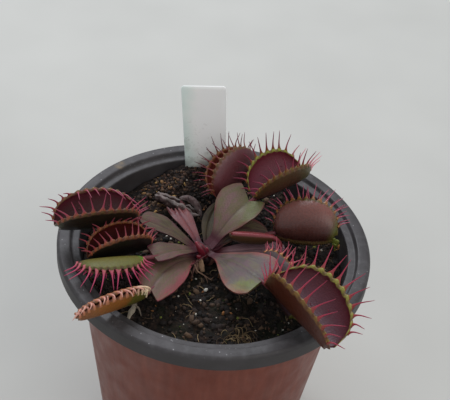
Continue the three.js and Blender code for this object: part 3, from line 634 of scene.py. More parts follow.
def lump(rng, centre, size, squash, rough):
    """An irregular grain or clod."""
    spin = np.array(Matrix.Rotation(rng.uniform(0, 6.28), 3, Vector((rng.gauss(0, 1), rng.gauss(0, 1), 1))))
    uneven = np.array([rng.uniform(1 - rough, 1 + rough) for _ in BALL_POINTS])
    return (BALL_POINTS * uneven[:, None] * np.array(squash) * size) @ spin.T + np.array(centre)


def near(rng, patch):
    """A random place in a patch (x, y, spread)."""
    return rng.gauss(patch[0], patch[2]), rng.gauss(patch[1], patch[2])


def free_spot(rng, patch=None, limit=42.0):
    """A random place on the peat: in the patch, or anywhere but in the crown."""
    while True:
        x, y = near(rng, patch) if patch else (rng.uniform(-limit, limit), rng.uniform(-limit, limit))
        in_crown = math.hypot(x - CROWN[0], y - CROWN[1]) <= CROWN_RADIUS + 1.2
        if math.hypot(x, y) < PEAT_RADIUS - (1.2 if patch else 1.4) and (patch or not in_crown):
            return x, y


def scatter(name, material, number, sizes, seed, squash, rough, sink=0.35, where=None, tint=(0, 1)):
    """Grains of one kind, strewn over the peat or over one patch of it."""
    rng = random.Random(seed)
    shape = Shape("tint")
    for _ in range(number):
        x, y = free_spot(rng, where)
        size = sizes[0] + (sizes[1] - sizes[0]) * rng.random() ** 2.2
        centre = (x, y, soil_height(x, y) + size * (0.5 - sink))
        shape.add(lump(rng, centre, size, squash, rough), BALL_FACES, tint=rng.uniform(*tint))
    shape.piece(name, [material], "peat")


def strands(name, material, number, seed, length, radius, where=None, curl=0.9, spread_up=0.0):
    """Loose fibres that lie on the peat, over all of it or in one tangle."""
    rng = random.Random(seed)
    shape = Shape("tint")
    girth = np.array([0.5, 1, 1, 1, 1, 1, 0.9, 0.7, 0.25])
    steps = len(girth)
    for _ in range(number):
        x, y = near(rng, where) if where else free_spot(rng, limit=40)
        heading, reach = rng.uniform(0, 6.28), rng.uniform(*length)
        bend, rise = rng.uniform(-curl, curl), 0.4 + rng.uniform(0, spread_up)
        path = []
        for k in range(steps):
            inside = math.hypot(x, y) < PEAT_RADIUS - 0.8
            ground = soil_height(x, y) if inside else path[-1][2] if path else SOIL_LEVEL
            path.append((x, y, ground + 0.25 + rise * math.sin(math.pi * k / (steps - 1))))
            heading += bend / steps * 2 + rng.gauss(0, 0.12)
            if inside:
                x += reach / steps * math.cos(heading)
                y += reach / steps * math.sin(heading)
            else:
                # At the wall a fibre turns back.
                heading, x, y = heading + 2.2, x - x * 0.03, y - y * 0.03
        shape.add(*tube(path, rng.uniform(*radius) * girth, 5, 0.6), tint=rng.random())
    shape.piece(name, [material], "peat")


def white_crumbs(perlite):
    """The larger perlite crumbs, each where the photograph shows one."""
    rng = random.Random(52)
    shape = Shape("tint")
    for x, y, size in ((-44.2, 2.4, 0.75), (-43.6, 1.4, 0.5), (-4.7, -9.5, 0.45), (-1.1, -14.3, 0.8),
                       (-3.3, -24.2, 0.6), (-16.0, 8.6, 0.55), (-14.6, 7.8, 0.45), (9.0, -20.8, 0.4),
                       (2.2, -18.6, 0.35), (-9.4, -18.2, 0.35), (31.5, -9.5, 0.6), (36.0, 1.0, 0.4)):
        inwards = min(1.0, (PEAT_RADIUS - 1.2) / math.hypot(x, y))
        x, y = x * inwards, y * inwards
        centre = (x, y, soil_height(x, y) + 0.35 * size)
        shape.add(lump(rng, centre, size, (1.0, 0.85, 0.75), 0.22), BALL_FACES, tint=rng.uniform(0.5, 1))
    shape.piece("perlite_crumbs", [perlite], "peat")


def seedling_piece(leaf_skin):
    """A weed seedling against the wall: three small round leaves and one that has turned orange."""
    shape = Shape("tint")
    root = np.array([39.6, 10.4, SOIL_LEVEL])
    for tip, wide, tone in (((38.6, 12.6, 78.6), 1.0, 0.2), ((40.3, 12.2, 78.4), 1.0, 0.3),
                            ((39.2, 10.2, 78.3), 0.9, 0.25), ((41.9, 10.2, 77.3), 1.15, 0.95)):
        middle = root + (tip - root) * 0.55
        shape.add(*tube(bezier(root, root + UP, middle - UP * 0.2, middle, 6), 0.14, 6), tint=tone)
        blade = bezier(middle, middle + (tip - middle) * 0.3 + UP * 0.4, tip + UP * 0.3, tip, 12)
        radii = wide * np.sin(np.linspace(0.25, 2.9, 12)) ** 0.6
        shape.add(*tube(blade, radii, 12, 0.28, (0.8, -0.4, 0.1)), tint=tone)
    shape.piece("weed_seedling", [leaf_skin], "leaf_blade")


def husk_piece(husk):
    """A dry bract that has fallen on the peat: an open husk with three curled side bracts."""
    shape = Shape("tint")
    line = bezier((-22.0, -25.9, 77.6), (-22.0, -27.6, 78.4), (-22.9, -30.4, 78.6), (-23.4, -32.6, 77.0), 18)
    radii = np.sin(np.linspace(0.25, 2.95, 18)) ** 0.7 + 0.14 * np.sin(np.linspace(0, 14, 18))
    shape.add(*tube(line, radii, 16, 0.5, (0.9, 0.1, 0.3)), tint=0.8)
    for a, b, c, thick in (((-22.2, -26.9, 78.0), (-23.9, -26.6, 78.9), (-25.2, -27.4, 77.2), 0.45),
                           ((-22.2, -27.5, 78.0), (-20.6, -28.2, 79.0), (-19.6, -30.2, 77.2), 0.5),
                           ((-22.1, -26.4, 77.8), (-21.0, -24.9, 78.6), (-21.4, -23.9, 77.0), 0.55)):
        shape.add(*tube(bezier(a, b, b, c, 10), thick * np.linspace(1.0, 0.35, 10), 8, 0.4), tint=0.6)
    shape.piece("fallen_husk", [husk], "dry_leaf")


# The crown.

def crown_piece(rhizome):
    """The rhizome's head, ringed by the scales of leaves that have gone. The head is painted dark, as shade
    in the hollow among the leaf feet.
    """
    shape = Shape("tint")
    rng = random.Random(41)
    line = rounded([(0.4, -12), (1.6, -11), (CROWN_RADIUS, -5), (CROWN_RADIUS, -0.6),
                    (CROWN_RADIUS - 0.7, 1.2), (CROWN_RADIUS - 1.8, 2.2), (0.3, 2.5)], 1.2, 5)
    n, sides, scales = len(line), 40, 15
    points, faces = turned(line, sides)
    points = np.array(points)
    faces += [tuple(k * n for k in reversed(range(sides))), tuple(k * n + n - 1 for k in range(sides))]
    points[:, :2] *= np.array([[1 + 0.09 * noise.noise(Vector(p) * 0.6)] for p in points])
    # The head takes a low tint: painted dark as shade in the hollow among the leaf feet.
    shape.add(points + CROWN, faces, tint=0.3)
    for k in range(scales):
        a = FULL_TURN * (k + 0.4 * rng.random()) / scales
        out, side = np.array([math.cos(a), math.sin(a), 0]), np.array([-math.sin(a), math.cos(a), 0])
        low, high = rng.uniform(-3.2, -1.6), rng.uniform(-0.4, 1.6)
        base = CROWN + out * (CROWN_RADIUS - 0.5) + UP * low
        tip = CROWN + out * (CROWN_RADIUS + rng.uniform(-0.9, 0.35)) + UP * high
        path = bezier(base, base + out * 0.9 + UP, tip + out * 0.5 - UP, tip, 8)
        shape.add(*tube(path, [1.25, 1.3, 1.25, 1.15, 1.0, 0.8, 0.55, 0.15], 10, 0.35, side),
                  tint=rng.random())
    shape.piece("rhizome", [rhizome], "rhizome", ["crown"])


def buds_piece(bud_skin):
    """New leaves: each a blade rolled round itself, with a seam down its front and a curled tip."""
    shape = Shape("along", "seam")
    steps, turnings = 26, circle(28)
    for base, tip, radius, face, bow in (
            ((-2.5, -3.5, 79.4), (-6.0, -3.7, 85.6), 1.65, (0.75, -0.7, 0.1), 1.0),
            ((-3.6, -4.4, 79.2), (-5.1, -6.2, 81.9), 1.0, (0.9, -0.3, 0.4), 0.5),
            ((-2.6, -1.8, 79.0), (-2.2, -2.6, 82.6), 0.85, (0.4, -0.9, 0.2), 0.5)):
        base, tip, bend = np.array(base), np.array(tip), unit(face) * bow
        path = bezier(base, base + (tip - base) * 0.35 + bend * 0.5, base + (tip - base) * 0.75 + bend * 0.7,
                      tip, steps)
        s = np.linspace(0, 1, steps)
        girth = radius * (0.6 + 0.4 * np.sin(math.pi * np.clip(s * 1.15, 0, 1))) * np.sqrt(
            np.clip(1 - np.clip((s - 0.66) / 0.34, 0, 1) ** 2.4 * 0.985, 0, 1))
        rows, seam = [], []
        for (here, front, aside), r, share in zip(walk(path, face), girth, s):
            # The blade's rolled edge overlaps itself in a line that winds up the bud.
            from_edge = (turnings - 0.5 * share + math.pi) % FULL_TURN - math.pi
            crease = np.exp(-(from_edge / 0.2) ** 2)
            reach = r * (1 - 0.26 * crease + np.where(from_edge > 0, 0.16 * np.exp(-from_edge / 0.9), 0.0))
            rows.append(here + reach[:, None] * (np.cos(turnings)[:, None] * front
                                                 + 0.82 * np.sin(turnings)[:, None] * aside))
            seam.append(crease)
        shape.add(rows, loft(steps, len(turnings)), along=np.repeat(s, len(turnings)), seam=seam)
    shape.piece("new_leaf_buds", [bud_skin], "bud_skin", ["leaf_buds"])


def remains(dry):
    """Dry remains of old leaves round the crown's foot: shrunken bases, forked strands and papery bits."""
    shape = Shape("tint")
    for a, b, c, thick, tone in (((-3.8, -5.2, 80.2), (-3.9, -6.8, 79.6), (-2.7, -8.4, 77.3), 0.95, 0.75),
                                 ((-4.9, -5.6, 79.6), (-5.4, -7.6, 79.0), (-4.4, -8.6, 76.6), 0.8, 0.45),
                                 ((-6.0, -6.2, 79.4), (-7.0, -8.4, 78.8), (-7.8, -10.2, 76.3), 0.75, 0.25),
                                 ((-5.2, -6.6, 78.6), (-5.8, -9.0, 78.2), (-6.4, -10.8, 76.2), 1.1, 0.2)):
        a, b, c = np.array(a), np.array(b), np.array(c)
        path = bezier(a, a + (b - a) * 0.7, b + (c - b) * 0.3, c, 14)
        points, faces = tube(path, thick * (0.55 + 0.45 * np.sin(np.linspace(0.3, 2.9, 14))), 12, 0.34)
        creases = [[noise.noise(Vector(q) * fine) for fine in (1.7, 1.9, 2.3)] for q in points]
        shape.add(points + 0.16 * np.array(creases), faces, tint=tone)
    for nodes, thick, tone in (
            ([(-7.3, -6.6, 79.6), (-7.6, -8.2, 79.0), (-6.3, -9.8, 77.8), (-5.6, -10.6, 76.6)], 0.24, 0.55),
            ([(-5.7, -7.4, 79.3), (-4.4, -9.4, 78.2), (-2.2, -10.2, 77.6), (0.4, -11.0, 76.5)], 0.27, 0.6),
            ([(-2.2, -10.2, 77.6), (-1.2, -11.2, 77.0), (-0.8, -12.2, 76.3)], 0.16, 0.5),
            ([(0.0, -10.9, 76.7), (0.5, -10.2, 76.8), (1.0, -9.2, 76.4)], 0.15, 0.55),
            ([(-6.9, -9.0, 79.7), (-5.2, -8.8, 81.2), (-3.9, -8.0, 82.3), (-2.2, -6.2, 82.6),
              (-0.7, -4.3, 82.5)], 0.25, 0.05)):
        at = np.linspace(0, len(nodes) - 1, 6 * len(nodes))
        path = np.stack([np.interp(at, range(len(nodes)), line) for line in zip(*nodes)], axis=1)
        path[1:-1] = (path[:-2] + 2 * path[1:-1] + path[2:]) / 4
        taper = np.clip(1.15 - 0.75 * np.linspace(0, 1, len(path)), 0.2, 1)
        shape.add(*tube(path, thick * taper, 7, 0.7), tint=tone)
    shape.piece("old_leaf_remains", [dry], "dry_leaf")


# Finishes. Every colour is an sRGB hex value, and every grain size is in real millimetres.

def linear(code):
    """An sRGB hex colour as the linear colour that a shader takes."""
    parts = [int(code[i:i + 2], 16) / 255 for i in (1, 3, 5)]
    return tuple(c / 12.92 if c <= 0.04045 else ((c + 0.055) / 1.055) ** 2.4 for c in parts) + (1.0,)


def grain(place, millimetres, **more):
    """The inputs of a pattern with cells of this size."""
    return {"Vector": place, "Scale": 1000.0 / millimetres, **more}


def add_node(tree, kind, inputs=(), stops=(), give=0, **settings):
    """Adds a node (its kind, or kind and operation) with its inputs by name or in order, a ramp's stops and
    its other settings, and gives back one of its outputs. A socket is linked, and a text is a colour."""
    kind, *operation = kind.split()
    node = tree.nodes.new("ShaderNode" + kind)
    if operation:
        node.operation = operation[0]
    for key, value in settings.items():
        setattr(node, key, value)
    for key, value in (inputs if isinstance(inputs, dict) else dict(enumerate(inputs))).items():
        if isinstance(value, bpy.types.NodeSocket):
            tree.links.new(value, node.inputs[key])
        else:
            node.inputs[key].default_value = linear(value) if isinstance(value, str) else value
    for _ in stops[2:]:
        node.color_ramp.elements.new(0.5)
    for element, (place, colour) in zip(node.color_ramp.elements if stops else (), stops):
        element.position = place
        element.color = linear(colour) if isinstance(colour, str) else (colour, colour, colour, 1)
    return node.outputs[give] if node.outputs else node


SHARE, UNDER, OVER = 0, 6, 7
COLOURS = dict(data_type="RGBA", give=2)
SOFTLY = dict(interpolation_type="SMOOTHSTEP")


def finish(name, shader, reads=""):
    """A material with its shader. Gives the function that adds a node to it, the function that ends it, the
    coordinates of its patterns and the values of each point that it reads."""
    material = bpy.data.materials.new(name)
    material.use_nodes = True
    tree = material.node_tree
    tree.nodes.clear()
    add = partial(add_node, tree)
    surface = add("BsdfPrincipled", shader)
    add("OutputMaterial", {"Surface": surface})

    def end(colour, layers=(), relief=(), rough=()):
        """Lays each shade over the colour by its share, with relief (strength, depth in mm, height) and
        roughness (by what, from and to, least and most)."""
        for share, shade in layers:
            colour = add("Mix", {SHARE: share, UNDER: colour, OVER: shade}, **COLOURS)
        made = {"Base Color": colour}
        if relief:
            strength, depth, height = relief
            made["Normal"] = add("Bump", {"Strength": strength, "Distance": depth * MM, "Height": height})
        if rough:
            made["Roughness"] = add("MapRange", rough)
        for key, socket in made.items():
            tree.links.new(socket, surface.node.inputs[key])
        return material

    values = [add("Attribute", give="Fac", attribute_name=value) for value in reads.split()]
    return add, end, add("TexCoord", give="Object"), *values


def trap_flesh(name, tint):
    """Living trap tissue: turgid, smooth and waxy. The inside is flushed with red pigment up to a pale
    margin, the outside shows green under a brown flush, and faint nerves run from the midrib out."""
    add, end, place, reach, turn, outer, tooth, bead, lobe = finish("trap_flesh_" + name, {
        "Roughness": 0.4, "Subsurface Weight": 0.08, "Subsurface Scale": 0.001, "Specular IOR Level": 0.42,
    }, "reach turn outer tooth bead lobe")
    # Blotches 3 mm across shift where each colour begins, so no line on the trap is ruled.
    blotch = add("TexNoise", grain(place, 3.0, Detail=3.0))
    shift = add("Math ADD", (blotch, -0.5))
    wander = add("Math MULTIPLY_ADD", (shift, 0.1, reach))
    inside = add("ValToRGB", (wander,), [
        (0.0, tint.rib), (0.1, tint.inner), (0.6, tint.inner_high), (0.85, tint.band), (0.925, tint.band),
        (0.95, tint.margin), (1.0, tint.margin)])
    outside = add("ValToRGB", (wander,), [
        (0.0, tint.outer_rib), (0.02, tint.outer_rib), (0.07, tint.outer), (0.8, tint.outer_high),
        (0.9, tint.outer_high), (0.95, tint.lip), (1.0, tint.lip)])
    ragged = add("Math MULTIPLY_ADD", (shift, 0.16, turn))
    near_neck = add("MapRange", (ragged, tint.start_to, tint.start_to - 0.12), **SOFTLY)
    lengthwise = add("MapRange", (ragged, tint.flush_from, tint.flush_to), **SOFTLY)
    layers = [(near_neck, tint.start), (lengthwise, tint.flush)]
    if tint.second:
        # The second lobe's outside has a colour of its own.
        layers.append((add("MapRange", (lobe, -0.4, 0.8, 0.0, 0.85)), tint.second))
    for share, shade in layers:
        outside = add("Mix", {SHARE: share, UNDER: outside, OVER: shade}, **COLOURS)
    skin = add("Mix", {SHARE: outer, UNDER: inside, OVER: outside}, **COLOURS)
    # The margin swells and is palest at the root of each tooth.
    at_margin = add("MapRange", (wander, 0.9, 0.96))
    gap = add("MapRange", (bead, 0.75, 0.1, 0.0, 0.62))
    gap = add("Math MULTIPLY", (gap, at_margin))
    skin = add("Mix", {SHARE: gap, UNDER: skin, OVER: tint.band}, **COLOURS)
    # Pigment cells, half a millimetre, seen as a fine speckle.
    cells = add("TexNoise", grain(place, 0.5, Detail=2.0))
    speckle = add("ValToRGB", (cells,), [(0.3, 0.72), (0.7, 1.22)])
    skin = add("Mix", {SHARE: 0.55, UNDER: skin, OVER: speckle}, blend_type="MULTIPLY", **COLOURS)
    teeth = add("ValToRGB", (tooth,), [
        (0.0, tint.tooth_root), (0.16, tint.tooth_root), (0.36, tint.tooth), (1.0, tint.tooth_tip)])
    if tint.pale:
        # Teeth at one end of the trap have faded.
        first, last, shade = tint.pale
        faded = add("MapRange", (ragged, first, last))
        teeth = add("Mix", {SHARE: faded, UNDER: teeth, OVER: shade}, **COLOURS)
    on_tooth = add("Math GREATER_THAN", (tooth, 0.01))
    # About two nerves to the millimetre, running from the midrib to the margin.
    nerves = add("Math MULTIPLY", (turn, 150.0))
    nerves = add("Math SINE", (nerves,))
    height = add("Math MULTIPLY_ADD", (nerves, 0.08, cells))
    return end(skin, [(on_tooth, teeth)], (0.35, 0.18, height), (blotch, 0.3, 0.7, *tint.gloss))


def stalk_blade(name, tint):
    """A leathery, waxy stalk blade: grey brown with a purple bloom, flushed pink at its edge and at the
    crown, green where the wax is thin, with a darker midrib and slanting side veins."""
    add, end, place, along, across, under, neck = finish("stalk_blade_" + name, {
        "Roughness": 0.42, "Subsurface Weight": 0.05, "Subsurface Scale": 0.001, "Specular IOR Level": 0.4,
    }, "along across under neck")
    out = add("Math ABSOLUTE", (across,))
    # Clouds of pigment 4 mm across.
    cloud = add("TexNoise", grain(place, 4.0, Detail=4.0))
    shift = add("Math ADD", (cloud, -0.5))
    colour = add("ValToRGB", (cloud,), [(0.4, tint.base), (0.6, tint.cloud)])
    patch = add("Math MULTIPLY_ADD", (across, tint.patch_side, along))
    patch = add("Math MULTIPLY_ADD", (shift, 0.7, patch))
    patch = add("MapRange", (patch, tint.patch_from, tint.patch_from + 0.35), **SOFTLY)
    edge = add("Math MULTIPLY_ADD", (shift, 0.6, out))
    edge = add("MapRange", (edge, tint.edge_from, 1.1), **SOFTLY)
    # Side veins leave the midrib at a slant, about 1.5 mm apart.
    slant = add("Math MULTIPLY_ADD", (out, -0.32, along))
    slant = add("Math MULTIPLY_ADD", (shift, 0.06, slant))
    slant = add("Math MULTIPLY", (slant, 88.0))
    veins = add("MapRange", (add("Math SINE", (slant,)), 0.72, 1.0))
    midrib = add("MapRange", (out, 0.085, 0.02), **SOFTLY)
    lines = add("Math MULTIPLY_ADD", (veins, 0.4, midrib), use_clamp=True)
    lines = add("Math MULTIPLY", (lines, tint.vein_strength))
    # Streaks of green and purple run along the blade, each about a millimetre wide.
    lengthways = add("CombineXYZ", (along, across, tint.seed))
    lengthways = add("Mapping", {"Vector": lengthways, "Scale": (2.2, 5.0, 1.0)})
    streak = add("TexNoise", {"Vector": lengthways, "Scale": 1.6, "Detail": 3.0})
    streak = add("MapRange", (streak, 0.46, 0.62, 0.0, 0.6))
    foot = add("MapRange", (along, 0.24, 0.02), **SOFTLY)
    for share, shade in ((patch, tint.patch), (edge, tint.edge), (lines, tint.vein), (streak, tint.streak),
                         (foot, tint.foot), (under, tint.below), (neck, tint.neck)):
        colour = add("Mix", {SHARE: share, UNDER: colour, OVER: shade}, **COLOURS)
    fine = add("TexNoise", grain(place, 0.45, Detail=2.0))
    speckle = add("ValToRGB", (fine,), [(0.3, 0.84), (0.7, 1.12)])
    colour = add("Mix", {SHARE: 0.6, UNDER: colour, OVER: speckle}, blend_type="MULTIPLY", **COLOURS)
    height = add("Math MULTIPLY_ADD", (lines, -0.8, fine))
    height = add("Math MULTIPLY_ADD", (cloud, 1.2, height))
    return end(colour, (), (0.5, 0.16, height), (cloud, 0.3, 0.7, 0.4, 0.6))


def dead_tissue():
    """A dead trap: dry and papery, its browns following the relief with brown black in the low folds as
    painted shade, paler at its rim, with grey mould specks.
    """
    add, end, place, reach, flap = finish("dead_leaf_tissue", {"Roughness": 0.75}, "reach tooth")
    folds = add("TexNoise", grain(place, 1.8, Detail=5.0))
    # Both ramps follow the relief's noise, so the low folds are painted darkest, as shade.
    colour = add("ValToRGB", (folds,), [
        (0.34, "#291c1b"), (0.5, "#463331"), (0.62, "#563f3d"), (0.74, "#74625e")])
    dry = add("ValToRGB", (folds,), [(0.36, "#3c2728"), (0.5, "#5a4645"), (0.66, "#6d6160")])
    rim = add("MapRange", (reach, 0.86, 1.0, 0.0, 0.6))
    mould = add("TexNoise", grain(place, 0.7, Detail=2.0))
    mould = add("MapRange", (mould, 0.62, 0.7, 0.0, 0.6))
    return end(colour, [(flap, dry), (rim, "#8a807c"), (mould, "#a5a39e")], (0.7, 0.4, folds))


def pot_outside():
    """Thermoformed polypropylene sheet, coloured terracotta and painted darker overall as shade: satin, with
    the fine vertical draw of the forming and a chalky bloom low down."""
    add, end, place = finish("terracotta_polypropylene", {"Roughness": 0.46, "Specular IOR Level": 0.45})
    drawn = add("Mapping", {"Vector": place, "Scale": (1.0, 1.0, 0.12)})
    streaks = add("TexNoise", grain(drawn, 2.2, Detail=4.0))
    # These terracottas are darker than the sheet's own colour: painted shade.
    colour = add("ValToRGB", (streaks,), [(0.3, "#6c2f1f"), (0.55, "#763626"), (0.75, "#7f3f2d")])
    dust = add("TexNoise", grain(place, 6.0, Detail=6.0))
    low = add("MapRange", (add("SeparateXYZ", (place,), give="Z"), 0.03, 0.0, 0.0, 0.4))
    chalk = add("MapRange", (dust, 0.5, 0.75, 0.04, 0.4))
    chalk = add("Math MULTIPLY_ADD", (low, chalk, 0.0))
    fine = add("TexNoise", grain(drawn, 0.7, Detail=3.0))
    return end(colour, [(chalk, "#b99a88")], (0.25, 0.12, fine), (dust, 0.3, 0.7, 0.38, 0.58))


def pot_inside():
    """The sheet's dark layer: soot grey polypropylene, scuffed by handling, with dry dust, lime specks
    and one smear of peat on the rim."""
    add, end, place = finish("soot_grey_polypropylene", {"Roughness": 0.5, "Specular IOR Level": 0.38})
    cloud = add("TexNoise", grain(place, 9.0, Detail=7.0))
    colour = add("ValToRGB", (cloud,), [(0.3, "#353233"), (0.52, "#3d3a3b"), (0.72, "#474446")])
    # Dust lies on the rim's level faces and hardly on the wall below it.
    level = add("SeparateXYZ", (add("NewGeometry", give="Normal"),), give="Z")
    on_rim = add("MapRange", (add("SeparateXYZ", (place,), give="Z"), 0.0805, 0.0822))
    on_rim = add("Math MULTIPLY", (on_rim, level), use_clamp=True)
    specks = add("TexVoronoi", grain(place, 1.5))
    specks = add("MapRange", (specks, 0.16, 0.08))
    patches = add("MapRange", (cloud, 0.5, 0.64))
    dust = add("Math MULTIPLY", (specks, patches))
    film = add("TexNoise", grain(place, 2.5, Detail=6.0))
    film = add("MapRange", (film, 0.46, 0.78, 0.0, 0.1))
    dust = add("Math MULTIPLY_ADD", (dust, 0.8, film), use_clamp=True)
    dust = add("Math MULTIPLY", (dust, on_rim))
    spot = add("VectorMath DISTANCE", (place, (-0.0352, 0.0324, 0.084)), give="Value")
    smear = add("MapRange", (spot, 0.0026, 0.0012))
    smear = add("Math MULTIPLY", (smear, patches))
    round_the_rim = add("Mapping", {"Vector": place, "Scale": (1.0, 1.0, 3.0)})
    scuffs = add("TexNoise", grain(round_the_rim, 0.9, Detail=4.0))
    return end(colour, [(dust, "#a9a9ab"), (smear, "#8d7448")], (0.3, 0.14, scuffs),
               (cloud, 0.35, 0.7, 0.44, 0.62))


def label_plastic():
    """Milky polypropylene strip: satin, faintly see-through, cool at one edge, stained by wet peat low
    down and lightly scuffed. It is bare."""
    add, end, place, across, down = finish("milky_polypropylene", {
        "Roughness": 0.4, "Subsurface Weight": 0.7, "Subsurface Radius": (1.0, 1.0, 1.0),
        "Subsurface Scale": 0.001,
    }, "across down")
    wash = add("TexNoise", grain(place, 7.0, Detail=5.0))
    shift = add("Math ADD", (wash, -0.5))
    side = add("Math MULTIPLY_ADD", (shift, 0.6, across))
    cool = add("MapRange", (side, -0.2, -1.0), **SOFTLY)
    colour = add("Mix", {SHARE: cool, UNDER: "#fafaf4", OVER: "#e0ece6"}, **COLOURS)
    # Stains reach about 12 mm above the peat and end in a ragged line.
    stain_at = add("Math MULTIPLY_ADD", (shift, 34.0, down))
    stain = add("MapRange", (stain_at, 22.0, 33.0, 0.0, 0.75))
    crumbs = add("TexNoise", grain(place, 0.8, Detail=4.0))
    dots = add("MapRange", (crumbs, 0.6, 0.68, 0.0, 0.7))
    near_soil = add("MapRange", (stain_at, 16.0, 30.0))
    dots = add("Math MULTIPLY", (dots, near_soil))
    stain = add("Math MAXIMUM", (stain, dots))
    return end(colour, [(stain, "#4a3d33")], (0.15, 0.1, wash))


def damp_peat():
    """Sphagnum peat, milled and damp: near black, matt, with a fine crumb and a green film of algae."""
    add, end, place = finish("damp_sphagnum_peat", {"Roughness": 0.92, "Specular IOR Level": 0.3})
    clods = add("TexNoise", grain(place, 1.6, Detail=6.0))
    colour = add("ValToRGB", (clods,), [
        (0.34, "#0d0a09"), (0.5, "#1c1512"), (0.64, "#2e221b"), (0.78, "#49382c")])
    film = add("TexNoise", grain(place, 11.0, Detail=3.0))
    film = add("MapRange", (film, 0.48, 0.62, 0.0, 0.5))
    front = add("MapRange", (add("SeparateXYZ", (place,), give="Y"), 0.004, -0.02))
    film = add("Math MULTIPLY", (film, front))
    crumb = add("TexNoise", grain(place, 0.6, Detail=6.0))
    return end(colour, [(film, "#1a2010")], (1.0, 0.6, crumb))


def grains_of(name, stops, roughness, size, depth):
    """Loose matter on the peat. Each grain takes its own tone between the stops."""
    add, end, place, tint = finish(name, {"Roughness": roughness}, "tint")
    fine = add("TexNoise", grain(place, size, Detail=4.0))
    mixed = add("Math MULTIPLY_ADD", (fine, 0.4, tint))
    mixed = add("Math ADD", (mixed, -0.2))
    return end(add("ValToRGB", (mixed,), stops), (), (0.8, depth, fine))


def bud_skin():
    """Young folded leaves: tight, crimson and glossy, with painted shade in the fold and paler at the foot.
    """
    add, end, place, along, seam = finish("crimson_bud_skin", {
        "Roughness": 0.28, "Subsurface Weight": 0.15, "Subsurface Scale": 0.0012, "Coat Weight": 0.4,
        "Coat Roughness": 0.15}, "along seam")
    colour = add("ValToRGB", (along,), [
        (0.0, "#6a3c38"), (0.25, "#681c2a"), (0.75, "#74182a"), (1.0, "#8c2438")])
    # Painted shade in the crease where the rolled edge overlaps.
    colour = add("Mix", {SHARE: seam, UNDER: colour, OVER: "#3a0d18"}, **COLOURS)
    fine = add("TexNoise", grain(place, 0.6, Detail=3.0))
    speckle = add("ValToRGB", (fine,), [(0.3, 0.8), (0.7, 1.2)])
    colour = add("Mix", {SHARE: 0.6, UNDER: colour, OVER: speckle}, blend_type="MULTIPLY", **COLOURS)
    return end(colour, (), (0.3, 0.2, fine))


def plain_floor():
    """A pale matt tabletop, so that the object alone is seen."""
    add, end, place = finish("pale_matt_tabletop", {"Roughness": 0.9, "Specular IOR Level": 0.1})
    soft = add("TexNoise", grain(place, 60.0, Detail=2.0))
    return end(add("ValToRGB", (soft,), [(0.3, "#c0c0bb"), (0.7, "#c6c6c1")]))


